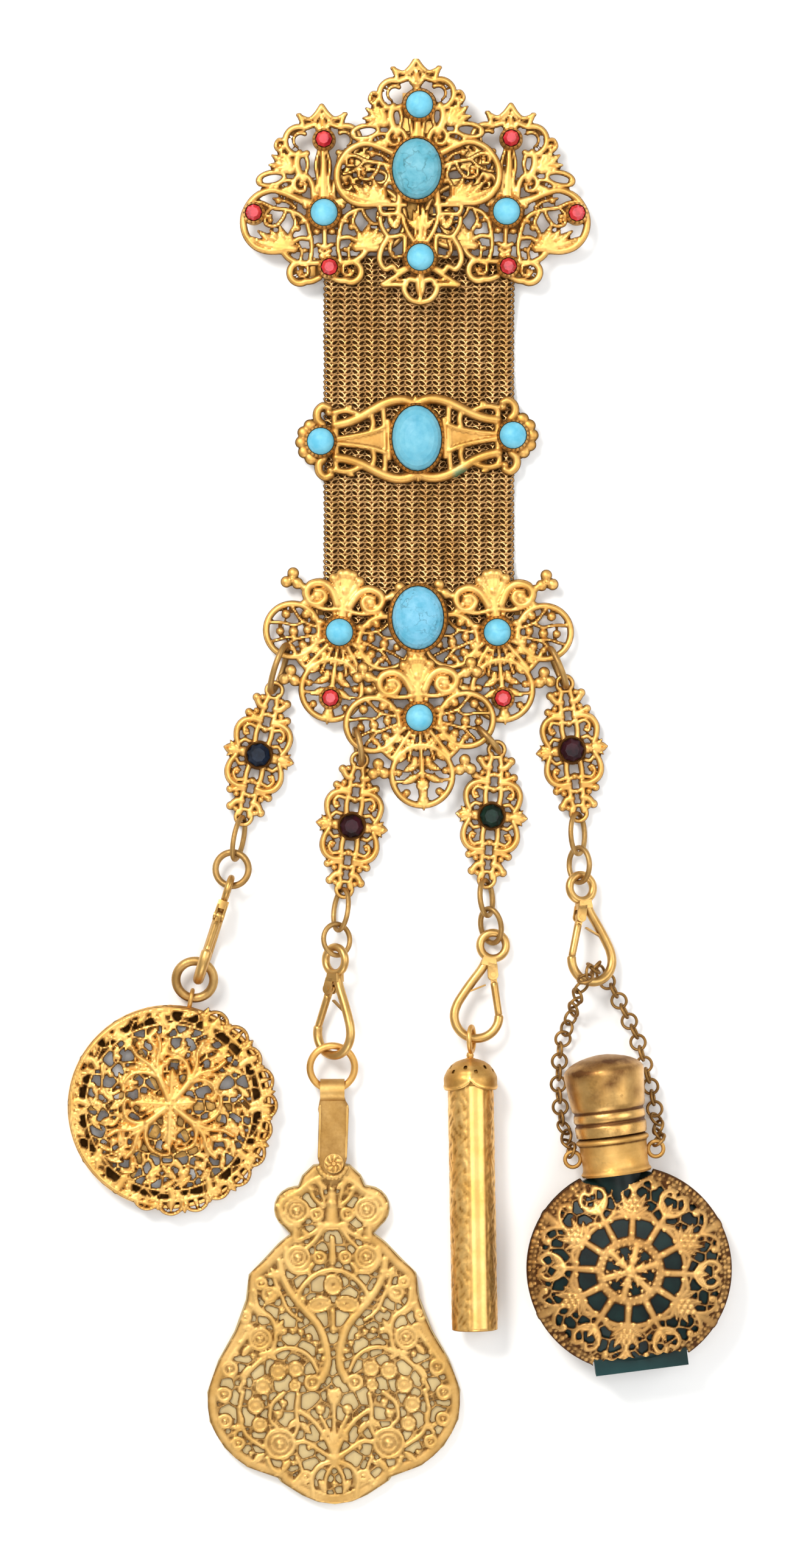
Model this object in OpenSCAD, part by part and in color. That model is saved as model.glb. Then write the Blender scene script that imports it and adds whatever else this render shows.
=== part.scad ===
// Chatelaine of pierced gilt metal with turquoise cabochons, lying flat on its back.
// Millimetres. X runs across the plaques, Y up towards the belt, Z up from the surface it lies on.

/* [Sheet metal] */
// Thickness of a pierced sheet
sheet_t = 0.8; // [0.7:0.1:0.9]
// Height of the raised relief over its sheet
relief_h = 0.5; // [0.3:0.1:0.6]

/* [Mesh ribbon] */
// Width of the mesh ribbon
ribbon_w = 38; // [36:1:38]
// Thickness of the mesh ribbon
ribbon_t = 1.5; // [1.2:0.1:1.5]

/* [Stones] */
// Diameter of a small turquoise
turquoise_d = 5.2; // [4.6:0.2:5.4]
// Diameter of a small red stone
red_d = 3.2; // [2.8:0.2:3.4]
// Diameter of the dark stone on a drop
drop_d = 4.6; // [4.2:0.2:4.8]
// Height of a cabochon's dome over its setting
dome_h = 1.9; // [1.4:0.1:2.2]

/* [Snap hooks] */
// Length of a snap hook from the middle of its eye to the foot of its bow
hook_l = 19.6; // [19:0.2:20.2]
// Half the width of a snap hook at its bow
hook_hw = 5.3; // [5.1:0.1:5.4]
// Radius of the wire of a snap hook
hook_r = 0.9; // [0.8:0.05:1.0]

/* [Notebook] */
// Thickness of a metal cover
cover_t = 0.9; // [0.7:0.1:1.0]
// Thickness of an ivory leaf
leaf_t = 0.6; // [0.4:0.1:0.7]

/* [Needle case] */
// Outer diameter of the tube
case_d = 9.1; // [8.8:0.1:9.3]
// Wall of the tube
case_wall = 0.7; // [0.6:0.1:0.9]

/* [Round case] */
// Radius of the case
round_r = 20; // [19.8:0.1:20.2]

/* [Scent bottle] */
// Radius of the flat round bottle
bottle_r = 19.4; // [19:0.1:19.6]
// Half the thickness of the bottle at its middle
bottle_half = 7; // [6.6:0.2:7.2]

/* [Hidden] */
gap = 0.1;
bevel = 0.4;
stamp_h = sheet_t + relief_h;
// levels of the layers over the surface
ribbon_z = 0.75;
lower_z = ribbon_z + ribbon_t + 0.15;
lower_top_z = lower_z + stamp_h + gap;
brooch_z = 4.0;
brooch_top_z = brooch_z + stamp_h + gap;
plate_z = 1.6;
ribbon_x = 4.1;
// a drop's place: x, y and turn of its plate, then its stone's colour
DROPS = [[-27.4, 5.4, -13.7, "#1c2a38"], [-9.1, -8.6, -6.8, "#3a0c16"],
         [18.4, -6.6, -4.4, "#0d2a20"], [34.2, 6.4, 6.3, "#2c0c18"]];
plate_eye = 12.5;
upper_eye = 13.1;
// a snap hook's place: x, y, z of its eye, turn, pitch, tilt about its length, gate side,
// then the radius of its wire and the radii of its eye and of the eye's wire
HOOKS = [[-33.4, -20.9, 4.3, -18, -5.4, -90, 1, 1.05, 2.2, 0.7],
         [-12.3, -34.9, 4.4, -1, 0, -42, -1, 0.9, 2.55, 0.8],
         [18.7, -32.1, 2.1, -13.3, -7.2, 0, 1, 0.9, 2.55, 0.8],
         [36.0, -20.7, 3.6, 8.2, -4, 25, -1, 0.9, 2.55, 0.8]];
gilt = "#c99a3e";
turquoise = "#5cc3dc";
red = "#b8252c";

// points on a circle and an arc
function polar(c, r, a) = [c[0] + r * cos(a), c[1] + r * sin(a)];
function arc(c, r, a0, a1, n = 8) = [for (i = [0:n]) polar(c, r, a0 + (a1 - a0) * i / n)];
function heading(p, i) =
    let (a = p[max(i - 1, 0)], b = p[min(i + 1, len(p) - 1)]) (b - a) / norm(b - a);
function left_of(p, i) = let (d = heading(p, i)) [-d[1], d[0]];

// a band along points, its width running from w to w_end, made slimmer for the relief
module stroke(p, w, w_end) {
    last = len(p) - 1;
    half = [for (i = [0:last]) (w + ((is_undef(w_end) ? w : w_end) - w) * i / last - $slim) / 2];
    polygon(concat([for (i = [0:last]) p[i] + left_of(p, i) * half[i]],
                   [for (i = [last:-1:0]) p[i] - left_of(p, i) * half[i]]));
}

module dot(c, r) {
    translate(c) circle(r - $slim / 2, $fn = 16);
}

module ring(c, r, w) {
    translate(c) difference() {
        circle(r + (w - $slim) / 2, $fn = 28);
        circle(r - (w - $slim) / 2, $fn = 28);
    }
}

module oval_ring(c, size, w, turn = 0) {
    translate(c) rotate(turn) difference() {
        scale(size) circle(1, $fn = 20);
        scale([size[0] - w + $slim / 2, size[1] - w + $slim / 2]) circle(1, $fn = 20);
    }
}

// an outline made slimmer for the relief, as a band is
module slimmed() {
    offset(delta = -0.45 * $slim) children();
}

module both_sides() {
    children();
    mirror([1, 0]) children();
}

module place(x, y, turn, z = 0) {
    translate([x, y, z]) rotate(turn) children();
}

// a pierced sheet from its bands, and the narrower relief that stands on it
module sheet(z) {
    translate([0, 0, z]) linear_extrude(sheet_t) offset(delta = 0.01) let ($slim = 0) children();
}

module relief(z) {
    translate([0, 0, z + sheet_t / 2]) linear_extrude(stamp_h - sheet_t / 2)
        offset(delta = 0.01) let ($slim = bevel) children();
}

// a round setting: a cup with a seat for a stone of diameter d
module setting(d, z, h) {
    translate([0, 0, z]) difference() {
        cylinder(h, r = d / 2 + 0.7, $fn = 32);
        translate([0, 0, h - 0.9]) cylinder(2, r = d / 2 + gap + 0.02, $fn = 32);
    }
}

// a round cabochon in its seat, a spherical cap on a short girdle
module cabochon(d, z, h) {
    r = d / 2;
    seat = z + h - 0.8;
    cap_r = (r * r + dome_h * dome_h) / (2 * dome_h);
    translate([0, 0, seat]) cylinder(0.8, r = r, $fn = 32);
    translate([0, 0, seat + 0.8]) intersection() {
        translate([0, 0, dome_h - cap_r]) sphere(cap_r, $fn = 48);
        translate([0, 0, -0.1]) cylinder(dome_h + 1, r = r, $fn = 32);
    }
}

// a faceted stone with a table: a girdle, then eight sloped facets
module cut_stone(d, z, h) {
    translate([0, 0, z + h - 0.8]) {
        cylinder(0.9, r = d / 2, $fn = 8);
        translate([0, 0, 0.9]) cylinder(0.9, d / 2, d * 0.3, $fn = 8);
    }
}

module oval_prism(size, h) {
    linear_extrude(h) offset(delta = 0.01) scale(size) circle(1, $fn = 32);
}

module oval_setting(size, z, h) {
    translate([0, 0, z]) difference() {
        oval_prism([size[0] + 0.7, size[1] + 0.7], h);
        translate([0, 0, h - 0.9]) oval_prism([size[0] + gap + 0.02, size[1] + gap + 0.02], 2);
    }
}

// an oval cabochon from rings of points that close towards its crown
module oval_cabochon(size, z, h, dome) {
    sides = 24;
    rise = [for (a = [0:15:75]) [cos(a), sin(a)]];
    levels = concat([[1, -0.8 / dome]], rise);
    n = len(levels);
    points = concat([for (l = levels) for (j = [0:sides - 1])
                        [size[0] * l[0] * cos(360 * j / sides),
                         size[1] * l[0] * sin(360 * j / sides), dome * l[1]]],
                    [[0, 0, dome]]);
    walls = [for (i = [0:n - 2]) for (j = [0:sides - 1]) let (k = (j + 1) % sides)
                [i * sides + j, (i + 1) * sides + j, (i + 1) * sides + k, i * sides + k]];
    crown = [for (j = [0:sides - 1]) [(n - 1) * sides + j, n * sides, (n - 1) * sides + (j + 1) % sides]];
    translate([0, 0, z + h]) polyhedron(points, concat([[for (j = [0:sides - 1]) j]], walls, crown));
}

// a round wire of radius r along flat points, open with flat ends or closed
module wire(p, r, closed = false, sides = 8) {
    last = len(p) - 1;
    norms = [for (i = [0:last])
        closed ? let (d = p[(i + 1) % (last + 1)] - p[(i + last) % (last + 1)]) [-d[1], d[0]] / norm(d)
               : left_of(p, i)];
    points = [for (i = [0:last]) for (j = [0:sides - 1]) let (a = 360 * j / sides)
        [p[i][0] + norms[i][0] * r * cos(a), p[i][1] + norms[i][1] * r * cos(a), r * sin(a)]];
    spans = closed ? last : last - 1;
    walls = [for (i = [0:spans]) for (j = [0:sides - 1])
        let (k = (j + 1) % sides, m = (i + 1) % (last + 1))
            [i * sides + j, m * sides + j, m * sides + k, i * sides + k]];
    caps = closed ? [] : [[for (j = [0:sides - 1]) j], [for (j = [sides - 1:-1:0]) last * sides + j]];
    polyhedron(points, concat(walls, caps));
}

module torus(big, small) {
    rotate_extrude($fn = 48) translate([big, 0]) circle(small, $fn = 24);
}

// a link: half widths a across and b along, then its turn, tilt about its length and pitch
module link(c, a, b, r, turn, tilt, pitch) {
    translate(c) rotate([0, 0, turn]) rotate([pitch, 0, 0]) rotate([0, -tilt, 0])
        if (a == b) torus(a, r);
        else wire([for (i = [0:15]) [a * cos(22.5 * i), b * sin(22.5 * i)]], r, true, 6);
}

// Fan stamping, used three times on the top plaque
module acanthus() {
    slimmed() polygon([[-15.2, -3.9], [-12.8, -5.4], [-12.7, -2.7], [-11.4, -4.7], [-9.4, -2.9],
             [-8.8, -4.5], [-7.1, -3.2], [-7.3, -5.2], [-6.3, -5.8], [-8.0, -6.9], [-13.0, -6.4]]);
}

module leaf(c, turn, l, w) {
    translate(c) rotate(turn)
        polygon([[0, 0.35 * w], [0.35 * l, 0.4 * w], [0.5 * l, 0.55 * w], [0.7 * l, 0.4 * w],
                 [0.8 * l, 0.25 * w], [l, 0], [0.8 * l, -0.25 * w], [0.7 * l, -0.4 * w],
                 [0.5 * l, -0.55 * w], [0.35 * l, -0.4 * w], [0, -0.35 * w]]);
}

module fan_top() {
    both_sides() {
        stroke([[0, 21], [-1.5, 19.1], [-2.8, 18.3], [-4.6, 19.4]], 1.0);
        stroke([[-4.2, 19.2], [-3.6, 17.2], [-1.2, 17.6]], 1.0);
        stroke(arc([-4.4, 14.3], 2.7, 70, 330, 10), 1.1);
        stroke([[-8.4, 13.6], [-7.9, 11.4], [-5.0, 11.3]], 0.9);
        dot([-8.2, 13.3], 1.1);
        leaf([-5.4, 7.9], 137, 5.4, 3.4);
        stroke([[-4.6, 11.8], [-4.8, 8.8], [-4.0, 6.8]], 2.0);
        dot([-3.8, 5.3], 2.4);
        oval_ring([-10.4, 7.0], [3.1, 1.65], 0.85);
        stroke([[-8.0, 6.6], [-5.4, 5.8]], 1.8);
        dot([-8.8, 5.2], 1.1);
    }
    slimmed() polygon([[-0.7, 12.8], [-0.6, 8], [-1.6, 2.6], [1.6, 2.6], [0.6, 8], [0.7, 12.8]]);
    stroke([[0, 18.6], [0, 15]], 2.0, 1.4);
    dot([0.3, 14.4], 2.0);
}

module fan_lobes() {
    both_sides() {
        stroke([[-5.0, 2.4], [-7.4, 4.0], [-10.4, 4.9], [-13.4, 3.4], [-15.3, 1.0], [-15.8, -1.6],
                [-15.1, -4.3], [-13.3, -6.2], [-11, -6.9], [-8.2, -6.8]], 1.1);
        acanthus();
        stroke([[-3.2, -2.2], [-4.7, -0.3], [-7.2, 0.9], [-10, 1.4], [-12.6, 2.6], [-14.2, 2.4]], 1.0);
        stroke([[-7.6, 0.9], [-8.8, -1.2], [-10.4, -3.4]], 1.0, 1.5);
        stroke([[-2.0, 1.6], [-5.4, 3.2]], 2.4);
    }
    dot([0, 0], 3.75);
}

module fan_feet() {
    both_sides() {
        stroke([[-8.6, -6.8], [-7.0, -8.8], [-5.6, -9.6]], 1.1);
        stroke([[-3.1, -9.6], [-2.7, -5.2], [-3.4, -2.0]], 1.0);
        stroke([[-6.9, -6.0], [-4.9, -4.8], [-2.8, -5.0]], 1.0);
        stroke([[-1.2, -9.6], [-5.6, -9.5]], 1.0);
        stroke(concat(arc([-5.0, -11.7], 2.1, 100, 290, 8), [[-1.4, -12.8]]), 1.4);
        dot([-5.0, -11.6], 1.5);
    }
    polygon([[-1.3, -6], [1.3, -6], [0.8, -9], [-0.8, -9]]);
    stroke([[0, -2.4], [0, -6.4]], 1.0);
    dot([0.8, -10.7], 2.2);
}

module fan(outer) {
    fan_top();
    fan_lobes();
    fan_feet();
    dot([outer * 13.8, 0.3], 2.2);
}

// the centres of the three fans: x, y and turn
FANS = [[-14.5, 111.8, 1.3], [21.3, 112.0, -2.4], [3.9, 120.8, 1]];

module fan_at(i) {
    translate([FANS[i][0], FANS[i][1]]) rotate(FANS[i][2]) children();
}

staple_t = 0.6;
post_w = 1.4;
module staple(x0, x1, y0, y1, z, top) {
    translate([x0, y0, z]) cube([x1 - x0, y1 - y0, staple_t]);
    for (x = [x0, x1 - post_w]) translate([x, y0, z]) cube([post_w, y1 - y0, top - z]);
}

module brooch_plate() color(gilt) {
    sheet(brooch_z) for (i = [0:1]) fan_at(i) fan(i == 0 ? -1 : 1);
    relief(brooch_z) for (i = [0:1]) fan_at(i) {
        fan_top();
        fan_lobes();
    }
    for (i = [0:1]) fan_at(i) {
        setting(turquoise_d, brooch_z, 2.6);
        translate([0.3, 14.4]) setting(red_d, brooch_z, 2.3);
        translate([0.8, -10.7]) setting(red_d, brooch_z, 2.3);
        translate([i == 0 ? -13.8 : 13.8, 0.3]) setting(red_d, brooch_z, 2.3);
    }
    staple(-17.6, 24.8, 99.4, 103.2, 1.5, brooch_z + 0.2);
}

// strapwork under the middle fan, round the lowest turquoise
module strapwork() {
    both_sides() {
        stroke([[-3.4, 10.4], [-7.8, 10.4], [-7.6, 8.6], [-3.4, 8.4], [-3.1, 6.4], [-1.2, 3.0]], 1.0);
        stroke([[-7.9, 7.8], [-7.4, 6.0], [-6.4, 4.2], [-3.2, 4.2], [-3.0, 1.0]], 1.0);
        stroke([[-6.4, 4.0], [-7.6, 1.8], [-7.9, -0.6], [-6.6, -2.0], [-5.0, -1.4], [-3.0, -1.0]], 1.4);
        stroke([[-2.4, -2.0], [-7.2, -5.2], [-2.8, -5.2]], 1.0);
        leaf([-1.0, 6.0], 106, 4.6, 2.2);
    }
    stroke([[0, 2.8], [0, 7.6]], 1.6);
    stroke(concat([[-3.4, -4.6]], arc([0, -5.0], 3.1, 200, 340, 8), [[3.4, -4.6]]), 1.1);
    slimmed() polygon([[-1.0, -7.6], [0, -9.0], [1.0, -7.6]]);
    stroke([[0, -3.0], [0, -8.2]], 1.9, 1.2);
    dot([0, 0], 3.6);
}

big_c = [3.7, 120.2];
big_stone = [4.8, 5.95];
big_setting_h = 2.6;
strap_x = 4.4;
strap_y = 102.9;

module brooch_overlay() color(gilt) {
    sheet(brooch_top_z) {
        fan_at(2) {
            fan_top();
            fan_lobes();
            both_sides() stroke([[-3.0, -2.0], [-4.0, -9.0]], 1.4);
        }
        translate([strap_x, strap_y]) strapwork();
    }
    relief(brooch_top_z) {
        fan_at(2) {
            fan_top();
            fan_lobes();
        }
        translate([strap_x, strap_y]) strapwork();
    }
    translate(big_c) oval_setting(big_stone, brooch_top_z, big_setting_h);
    translate([4.2, 132.8]) setting(turquoise_d, brooch_top_z, 2.5);
    translate([strap_x, strap_y]) setting(turquoise_d, brooch_top_z, 2.5);
}

// a plain tongue folded over behind the middle of the plaque, for a belt
tongue_w = 6;
tongue_t = 1;
module belt_hook() color(gilt) {
    top = brooch_top_z - gap;
    reach = top / 2;
    translate([ribbon_x - 0.2 - tongue_w / 2, 0, 0]) rotate([90, 0, 90]) linear_extrude(tongue_w) {
        translate([106, 0]) square([27, tongue_t]);
        translate([118.5, top - tongue_t]) square([14.5, tongue_t]);
        translate([133, 0]) intersection() {
            translate([0, reach]) difference() {
                circle(reach, $fn = 40);
                circle(reach - tongue_t, $fn = 40);
            }
            square([reach, top]);
        }
    }
}

// the ribbon's underside: y and z, from the top plaque down to the lower one
RIBBON_PATH = [[103.6, 2.35], [97.5, 2.35], [88, 0.05], [80, 0.05], [76, 0.75], [59, 0.75],
               [55, 0.05], [45, 0.05], [41, 0.75], [31, 0.75]];
module mesh_ribbon() color("#a97c34") {
    under = RIBBON_PATH;
    over = [for (i = [len(under) - 1:-1:0]) under[i] + [0, ribbon_t]];
    translate([ribbon_x - ribbon_w / 2, 0, 0]) rotate([90, 0, 90]) linear_extrude(ribbon_w)
        polygon(concat(under, over));
}

// the slider that the ribbon runs through
slider_c = [3.7, 67.6];
slider_turn = 1.8;
slider_z = ribbon_z + ribbon_t + 0.2;
slider_end = 18.9;
module slider_bands() {
    both_sides() for (m = [0, 1]) mirror([0, m]) {
        stroke([[0, 7.4], [-3.6, 7.9], [-7.2, 6.7], [-10.1, 4.8], [-13, 3.6], [-16, 3.2]], 1.4);
        stroke([[-19.6, 3.0], [-19.4, 5.6], [-17.8, 6.8], [-16.4, 5.8]], 1.4);
        stroke([[-16.6, 6.0], [-13.4, 6.0], [-10.6, 5.0]], 1.0);
        dot([-13.3, 6.5], 0.8);
        stroke([[-9.3, 1.4], [-9.3, 5.2]], 0.9);
    }
    both_sides() {
        slimmed()
            polygon([[-15.8, 0.6], [-6.4, 2.3], [-5.0, 2.6], [-5.0, -2.6], [-6.4, -2.3], [-15.8, -0.6]]);
        stroke([[-6.5, -7.0], [-6.5, 7.0]], 1.0);
        stroke([[-16.1, -3.4], [-16.1, 3.4]], 1.2);
        for (a = [125:27.5:235]) dot(polar([-slider_end, 0], 3.7, a), 1.25);
        dot([-slider_end, 0], 3.7);
    }
}

module slider() color(gilt) place(slider_c[0], slider_c[1], slider_turn) {
    sheet(slider_z) slider_bands();
    relief(slider_z) slider_bands();
    oval_setting([4.85, 6.4], slider_z, big_setting_h);
    for (s = [-1, 1]) translate([s * slider_end, 0]) setting(turquoise_d, slider_z, 2.4);
    staple(-21.6, 22.0, -2.5, 2.5, 0, slider_z + 0.2);
}

// Trilobed stamping, used three times on the lower plaque
module trefoil(c) {
    for (a = [90, 210, 330]) dot(polar(c, 1.0, a), 1.2);
}

module shell() {
    for (a = [20:35:160]) dot(polar([0, 8.7], 2.7, a), 1.1);
    dot([0, 8.7], 2.8);
    both_sides() {
        dot([-5.2, 7.0], 2.4);
        stroke([[-6.6, 5.2], [-3.2, 4.6], [0, 5.8]], 1.0);
        stroke([[-3.4, 8.0], [-1.6, 8.2]], 2.0);
        stroke([[-6.6, 7.6], [-9.8, 8.8]], 1.1);
        trefoil([-10.4, 9.1]);
    }
    stroke([[0, 2.5], [0, 6.2]], 1.8);
}

module trilobe() {
    shell();
    both_sides() {
        ring([-9.2, -0.8], 5.2, 1.0);
        stroke([[-2.6, 0.3], [-8.2, 1.0]], 1.1, 2.4);
        stroke([[-8.0, 4.8], [-6.2, 6.6]], 1.5);
        stroke([[-2.3, -2.6], [-4.9, -8.6]], 1.0);
        stroke([[-3.0, -2.2], [-6.4, -6.8], [-8.0, -9.4]], 1.1);
        stroke([[-7.8, -9.8], [-5.0, -9.6]], 1.2);
        trefoil([-8.4, -9.8]);
        for (a = [150, 208]) dot(polar([0, 0], 3.8, a), 1.3);
    }
    ring([0, -11.4], 5.3, 1.0);
    stroke([[0, -2.6], [0, -11.6]], 0.9, 2.2);
    slimmed() polygon([[-1.1, -16.2], [0, -18.2], [1.1, -16.2]]);
    dot([0, 0], 3.75);
}

// the centres of the three trilobes: x, y and turn
LOBES = [[-11.5, 29.5, -7.8], [19.5, 29.5, 5], [4.2, 12.7, 2.8]];
red_drop = 13.0;

module lobe_at(i) {
    translate([LOBES[i][0], LOBES[i][1]]) rotate(LOBES[i][2]) children();
}

module lower_plate() color(gilt) {
    sheet(lower_z) for (i = [0:1]) lobe_at(i) {
        trilobe();
        stroke([[0, -15.6], [0, -red_drop]], 3.0);
    }
    relief(lower_z) for (i = [0:1]) lobe_at(i) shell();
    for (i = [0:1]) lobe_at(i) {
        setting(turquoise_d, lower_z, 2.5);
        translate([0, -red_drop]) setting(red_d, lower_z, 2.2);
    }
    staple(-17.2, 25.4, 33, 37, 0, lower_z + 0.2);
}

lower_big = [3.9, 32.3];
module lower_overlay() color(gilt) {
    sheet(lower_top_z) {
        lobe_at(2) {
            trilobe();
            stroke([[0, 10.5], [0, 14.6]], 1.6);
            both_sides() dot([-1.0, 12.9], 0.9);
        }
    }
    relief(lower_top_z) lobe_at(2) trilobe();
    lobe_at(2) setting(turquoise_d, lower_top_z, 2.5);
    translate(lower_big) oval_setting([5.05, 6.2], lower_top_z, big_setting_h);
}

// the link plate at the head of each drop
module plate_bands() {
    for (m = [0, 1]) mirror([0, m]) both_sides() {
        stroke(concat([[-2.0, 6.3]], arc([-4.1, 4.1], 2.4, 80, 200, 6), [[-5.6, 0.6]]), 1.3);
        stroke([[-1.6, 2.0], [-1.9, 6.0], [-1.7, 9.4], [-1.0, 11.4]], 1.4);
        stroke([[-1.6, 7.0], [-4.4, 7.7]], 1.1);
        dot([-4.7, 7.7], 0.9);
        stroke([[-1.4, 9.6], [-3.6, 10.8]], 1.5);
        dot([-3.6, 10.9], 1.1);
        stroke([[0, 8.0], [-1.8, 7.8]], 1.2);
    }
    both_sides() stroke([[-1.1, 11.0], [-1.2, 12.2]], 1.0);
    ring([0, upper_eye], 1.525, 0.75);
    ring([0, -plate_eye], 1.525, 0.75);
    both_sides() polygon([[-3.0, 1.5], [-4.6, 1.4], [-7.2, 0], [-4.6, -1.4], [-3.0, -1.5]]);
    dot([0, 0], 3.2);
}

module plate_relief() {
    for (m = [0, 1]) mirror([0, m]) both_sides()
        stroke(concat([[-2.0, 6.3]], arc([-4.1, 4.1], 2.4, 80, 200, 6), [[-5.6, 0.6]]), 1.3);
    both_sides() polygon([[-3.0, 1.0], [-4.6, 0.9], [-6.6, 0], [-4.6, -0.9], [-3.0, -1.0]]);
}

module drop_plate(i) color(gilt) place(DROPS[i][0], DROPS[i][1], DROPS[i][2]) {
    sheet(plate_z) plate_bands();
    relief(plate_z) plate_relief();
    setting(drop_d, 0, plate_z + 2.4);
}

module drop_stone(i) color(DROPS[i][3]) place(DROPS[i][0], DROPS[i][1], DROPS[i][2])
    cut_stone(drop_d, 0, plate_z + 2.4);

// each drop's links: middle x, y, z, half width, half length, wire, then turn, tilt and pitch
JUMP = [[-23.4, 22.42, 3.4, 2.95, 4.85, 0.5, -17.1, 105, 9.5],
        [-7.8, 7.1, 3.25, 2.7, 3.35, 0.5, 9.9, 80.8, 0],
        [17.81, 8.4, 3.32, 2.7, 3.1, 0.5, 42, 84.8, 3.7],
        [31.47, 22.6, 3.27, 2.7, 4.02, 0.5, 22, 82.5, 8.6]];
UPPER = [[-31.32, -11, 2.9, 2.5, 4.25, 0.42, -11.7, -68.6, -11.1],
         [-11.21, -25.03, 2.64, 2.45, 4.1, 0.42, -6, 55.9, -11.5],
         [17.35, -22.7, 2.78, 2.5, 3.5, 0.45, 1.9, -60.2, -13.7],
         [35.32, -10.08, 2.78, 2.6, 4.0, 0.42, 0, -57, -10]];
LOWER = [[-32.6, -17.03, 3.8, 3.3, 3.3, 0.55, 0, 9.7, -3.2],
         [-12.04, -30.88, 3.95, 2.8, 3.1, 0.42, 0, -23.7, -9.4],
         [18.27, -28.2, 2.75, 2.6, 3.7, 0.45, -1.1, 38.9, 26.4],
         [35.61, -16.22, 3.45, 2.9, 3.4, 0.45, 0, 48.5, 0]];
module drop_links(i) color(gilt) for (l = [JUMP[i], UPPER[i], LOWER[i]])
    link([l[0], l[1], l[2]], l[3], l[4], l[5], l[6], l[7], l[8]);

// Snap hook, drawn with its eye at the origin and its length down -Y
bow_r = hook_hw - hook_r;
bow = [0, -hook_l + hook_hw];
pivot = [1.3, -5.7];
gate_r = 0.75;
knuckle_r = 1.1;
knuckle_t = 1.0;
cheek_t = 0.45;
cheek_r = 1.3;
pin_r = 0.4;
nose_turn = 12;
nose = polar(bow, bow_r, nose_turn);
gate_way = (nose - pivot) / norm(nose - pivot);
gate_end = nose - gate_way * 0.45;
gate_in = [gate_way[1], -gate_way[0]];

module hook_body(r, eye, eye_wire) {
    torus(eye, eye_wire);
    wire(concat([[-0.7, -3.4], [-1.2, -5.2], [-2.7, -8.6], [-4.0, -12.0]],
                arc(bow, bow_r, 170, 360 + nose_turn, 14)), r);
    translate([0, 0, -knuckle_t / 2 - gap - cheek_t]) linear_extrude(knuckle_t + 2 * gap + 2 * cheek_t)
        polygon([[-1.4, -2.3], [1.3, -2.3], [1.7, -4.2], [-1.5, -4.2]]);
    for (s = [-1, 1]) translate([0, 0, s * (knuckle_t / 2 + gap + cheek_t / 2) - cheek_t / 2])
        linear_extrude(cheek_t) {
            translate(pivot) circle(cheek_r, $fn = 32);
            polygon([[-0.4, -3.4], [1.6, -3.4], [2.5, -5.4], [0.2, -6.2]]);
        }
    translate([pivot[0], pivot[1], -knuckle_t / 2 - gap - cheek_t / 2])
        cylinder(knuckle_t + 2 * gap + cheek_t, r = pin_r, $fn = 24);
    tip = pivot + gate_way * 1.7 + gate_in * (gate_r + 0.95);
    foot = [-3.2, -10.4];
    let ($slim = 0) translate([0, 0, -0.5]) linear_extrude(1.0) stroke([foot, tip], 0.5, 0.4);
    translate([foot[0] + 0.2, foot[1] - 0.2, -0.6]) cylinder(1.2, r = 0.7, $fn = 24);
}

module hook_gate() {
    difference() {
        union() {
            translate([pivot[0], pivot[1], -knuckle_t / 2]) {
                cylinder(knuckle_t, r = knuckle_r, $fn = 32);
                let ($slim = 0) linear_extrude(knuckle_t) stroke([[0, 0], gate_way * 2.0], 1.4);
            }
            wire([pivot + gate_way * 1.65, (pivot + gate_end) / 2, gate_end], gate_r);
        }
        translate([pivot[0], pivot[1], -2]) cylinder(4, r = pin_r + gap, $fn = 24);
    }
}

module hook_at(i) {
    h = HOOKS[i];
    translate([h[0], h[1], h[2]]) rotate([0, 0, h[3]]) rotate([h[4], 0, 0]) rotate([0, h[5], 0])
        mirror([h[6] < 0 ? 1 : 0, 0, 0]) children();
}

module hook(i) color(gilt) hook_at(i) hook_body(HOOKS[i][7], HOOKS[i][8], HOOKS[i][9]);
module gate(i) color(gilt) hook_at(i) hook_gate();

// Round pierced case with a ring
round_c = [-44.9, -63.8];
round_t = 5.4;
ring_c = [-39.92, -38.75];
ring_big = 3.7;
ring_wire = 0.9;
ring_z = 3.5;
ring_pitch = 9.3;
lug_turn = -11.2;
lug_out = 21.7;
lug_z = 2.9;
module round_case_ring() color(gilt) translate([ring_c[0], ring_c[1], ring_z])
    rotate([ring_pitch, 0, 0]) torus(ring_big, ring_wire);

module round_case_rim() color(gilt) {
    translate([round_c[0], round_c[1], 1.0]) difference() {
        cylinder(3.4, r = round_r, $fn = 64);
        translate([0, 0, -1]) cylinder(6, r = round_r - 0.9, $fn = 64);
    }
    translate([round_c[0], round_c[1], lug_z]) rotate([0, 0, lug_turn]) translate([0, lug_out, 0])
        rotate([0, 90, 0]) torus(1.7, 0.4);
}

module round_case_back() color(gilt) translate(round_c) sheet(0) {
    ring([0, 0], round_r - 0.9, 1.8);
    ring([0, 0], 9.5, 1.6);
    for (a = [0:60:300]) stroke([polar([0, 0], 3, a), polar([0, 0], round_r - 1, a)], 1.6);
    dot([0, 0], 4);
}

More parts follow.
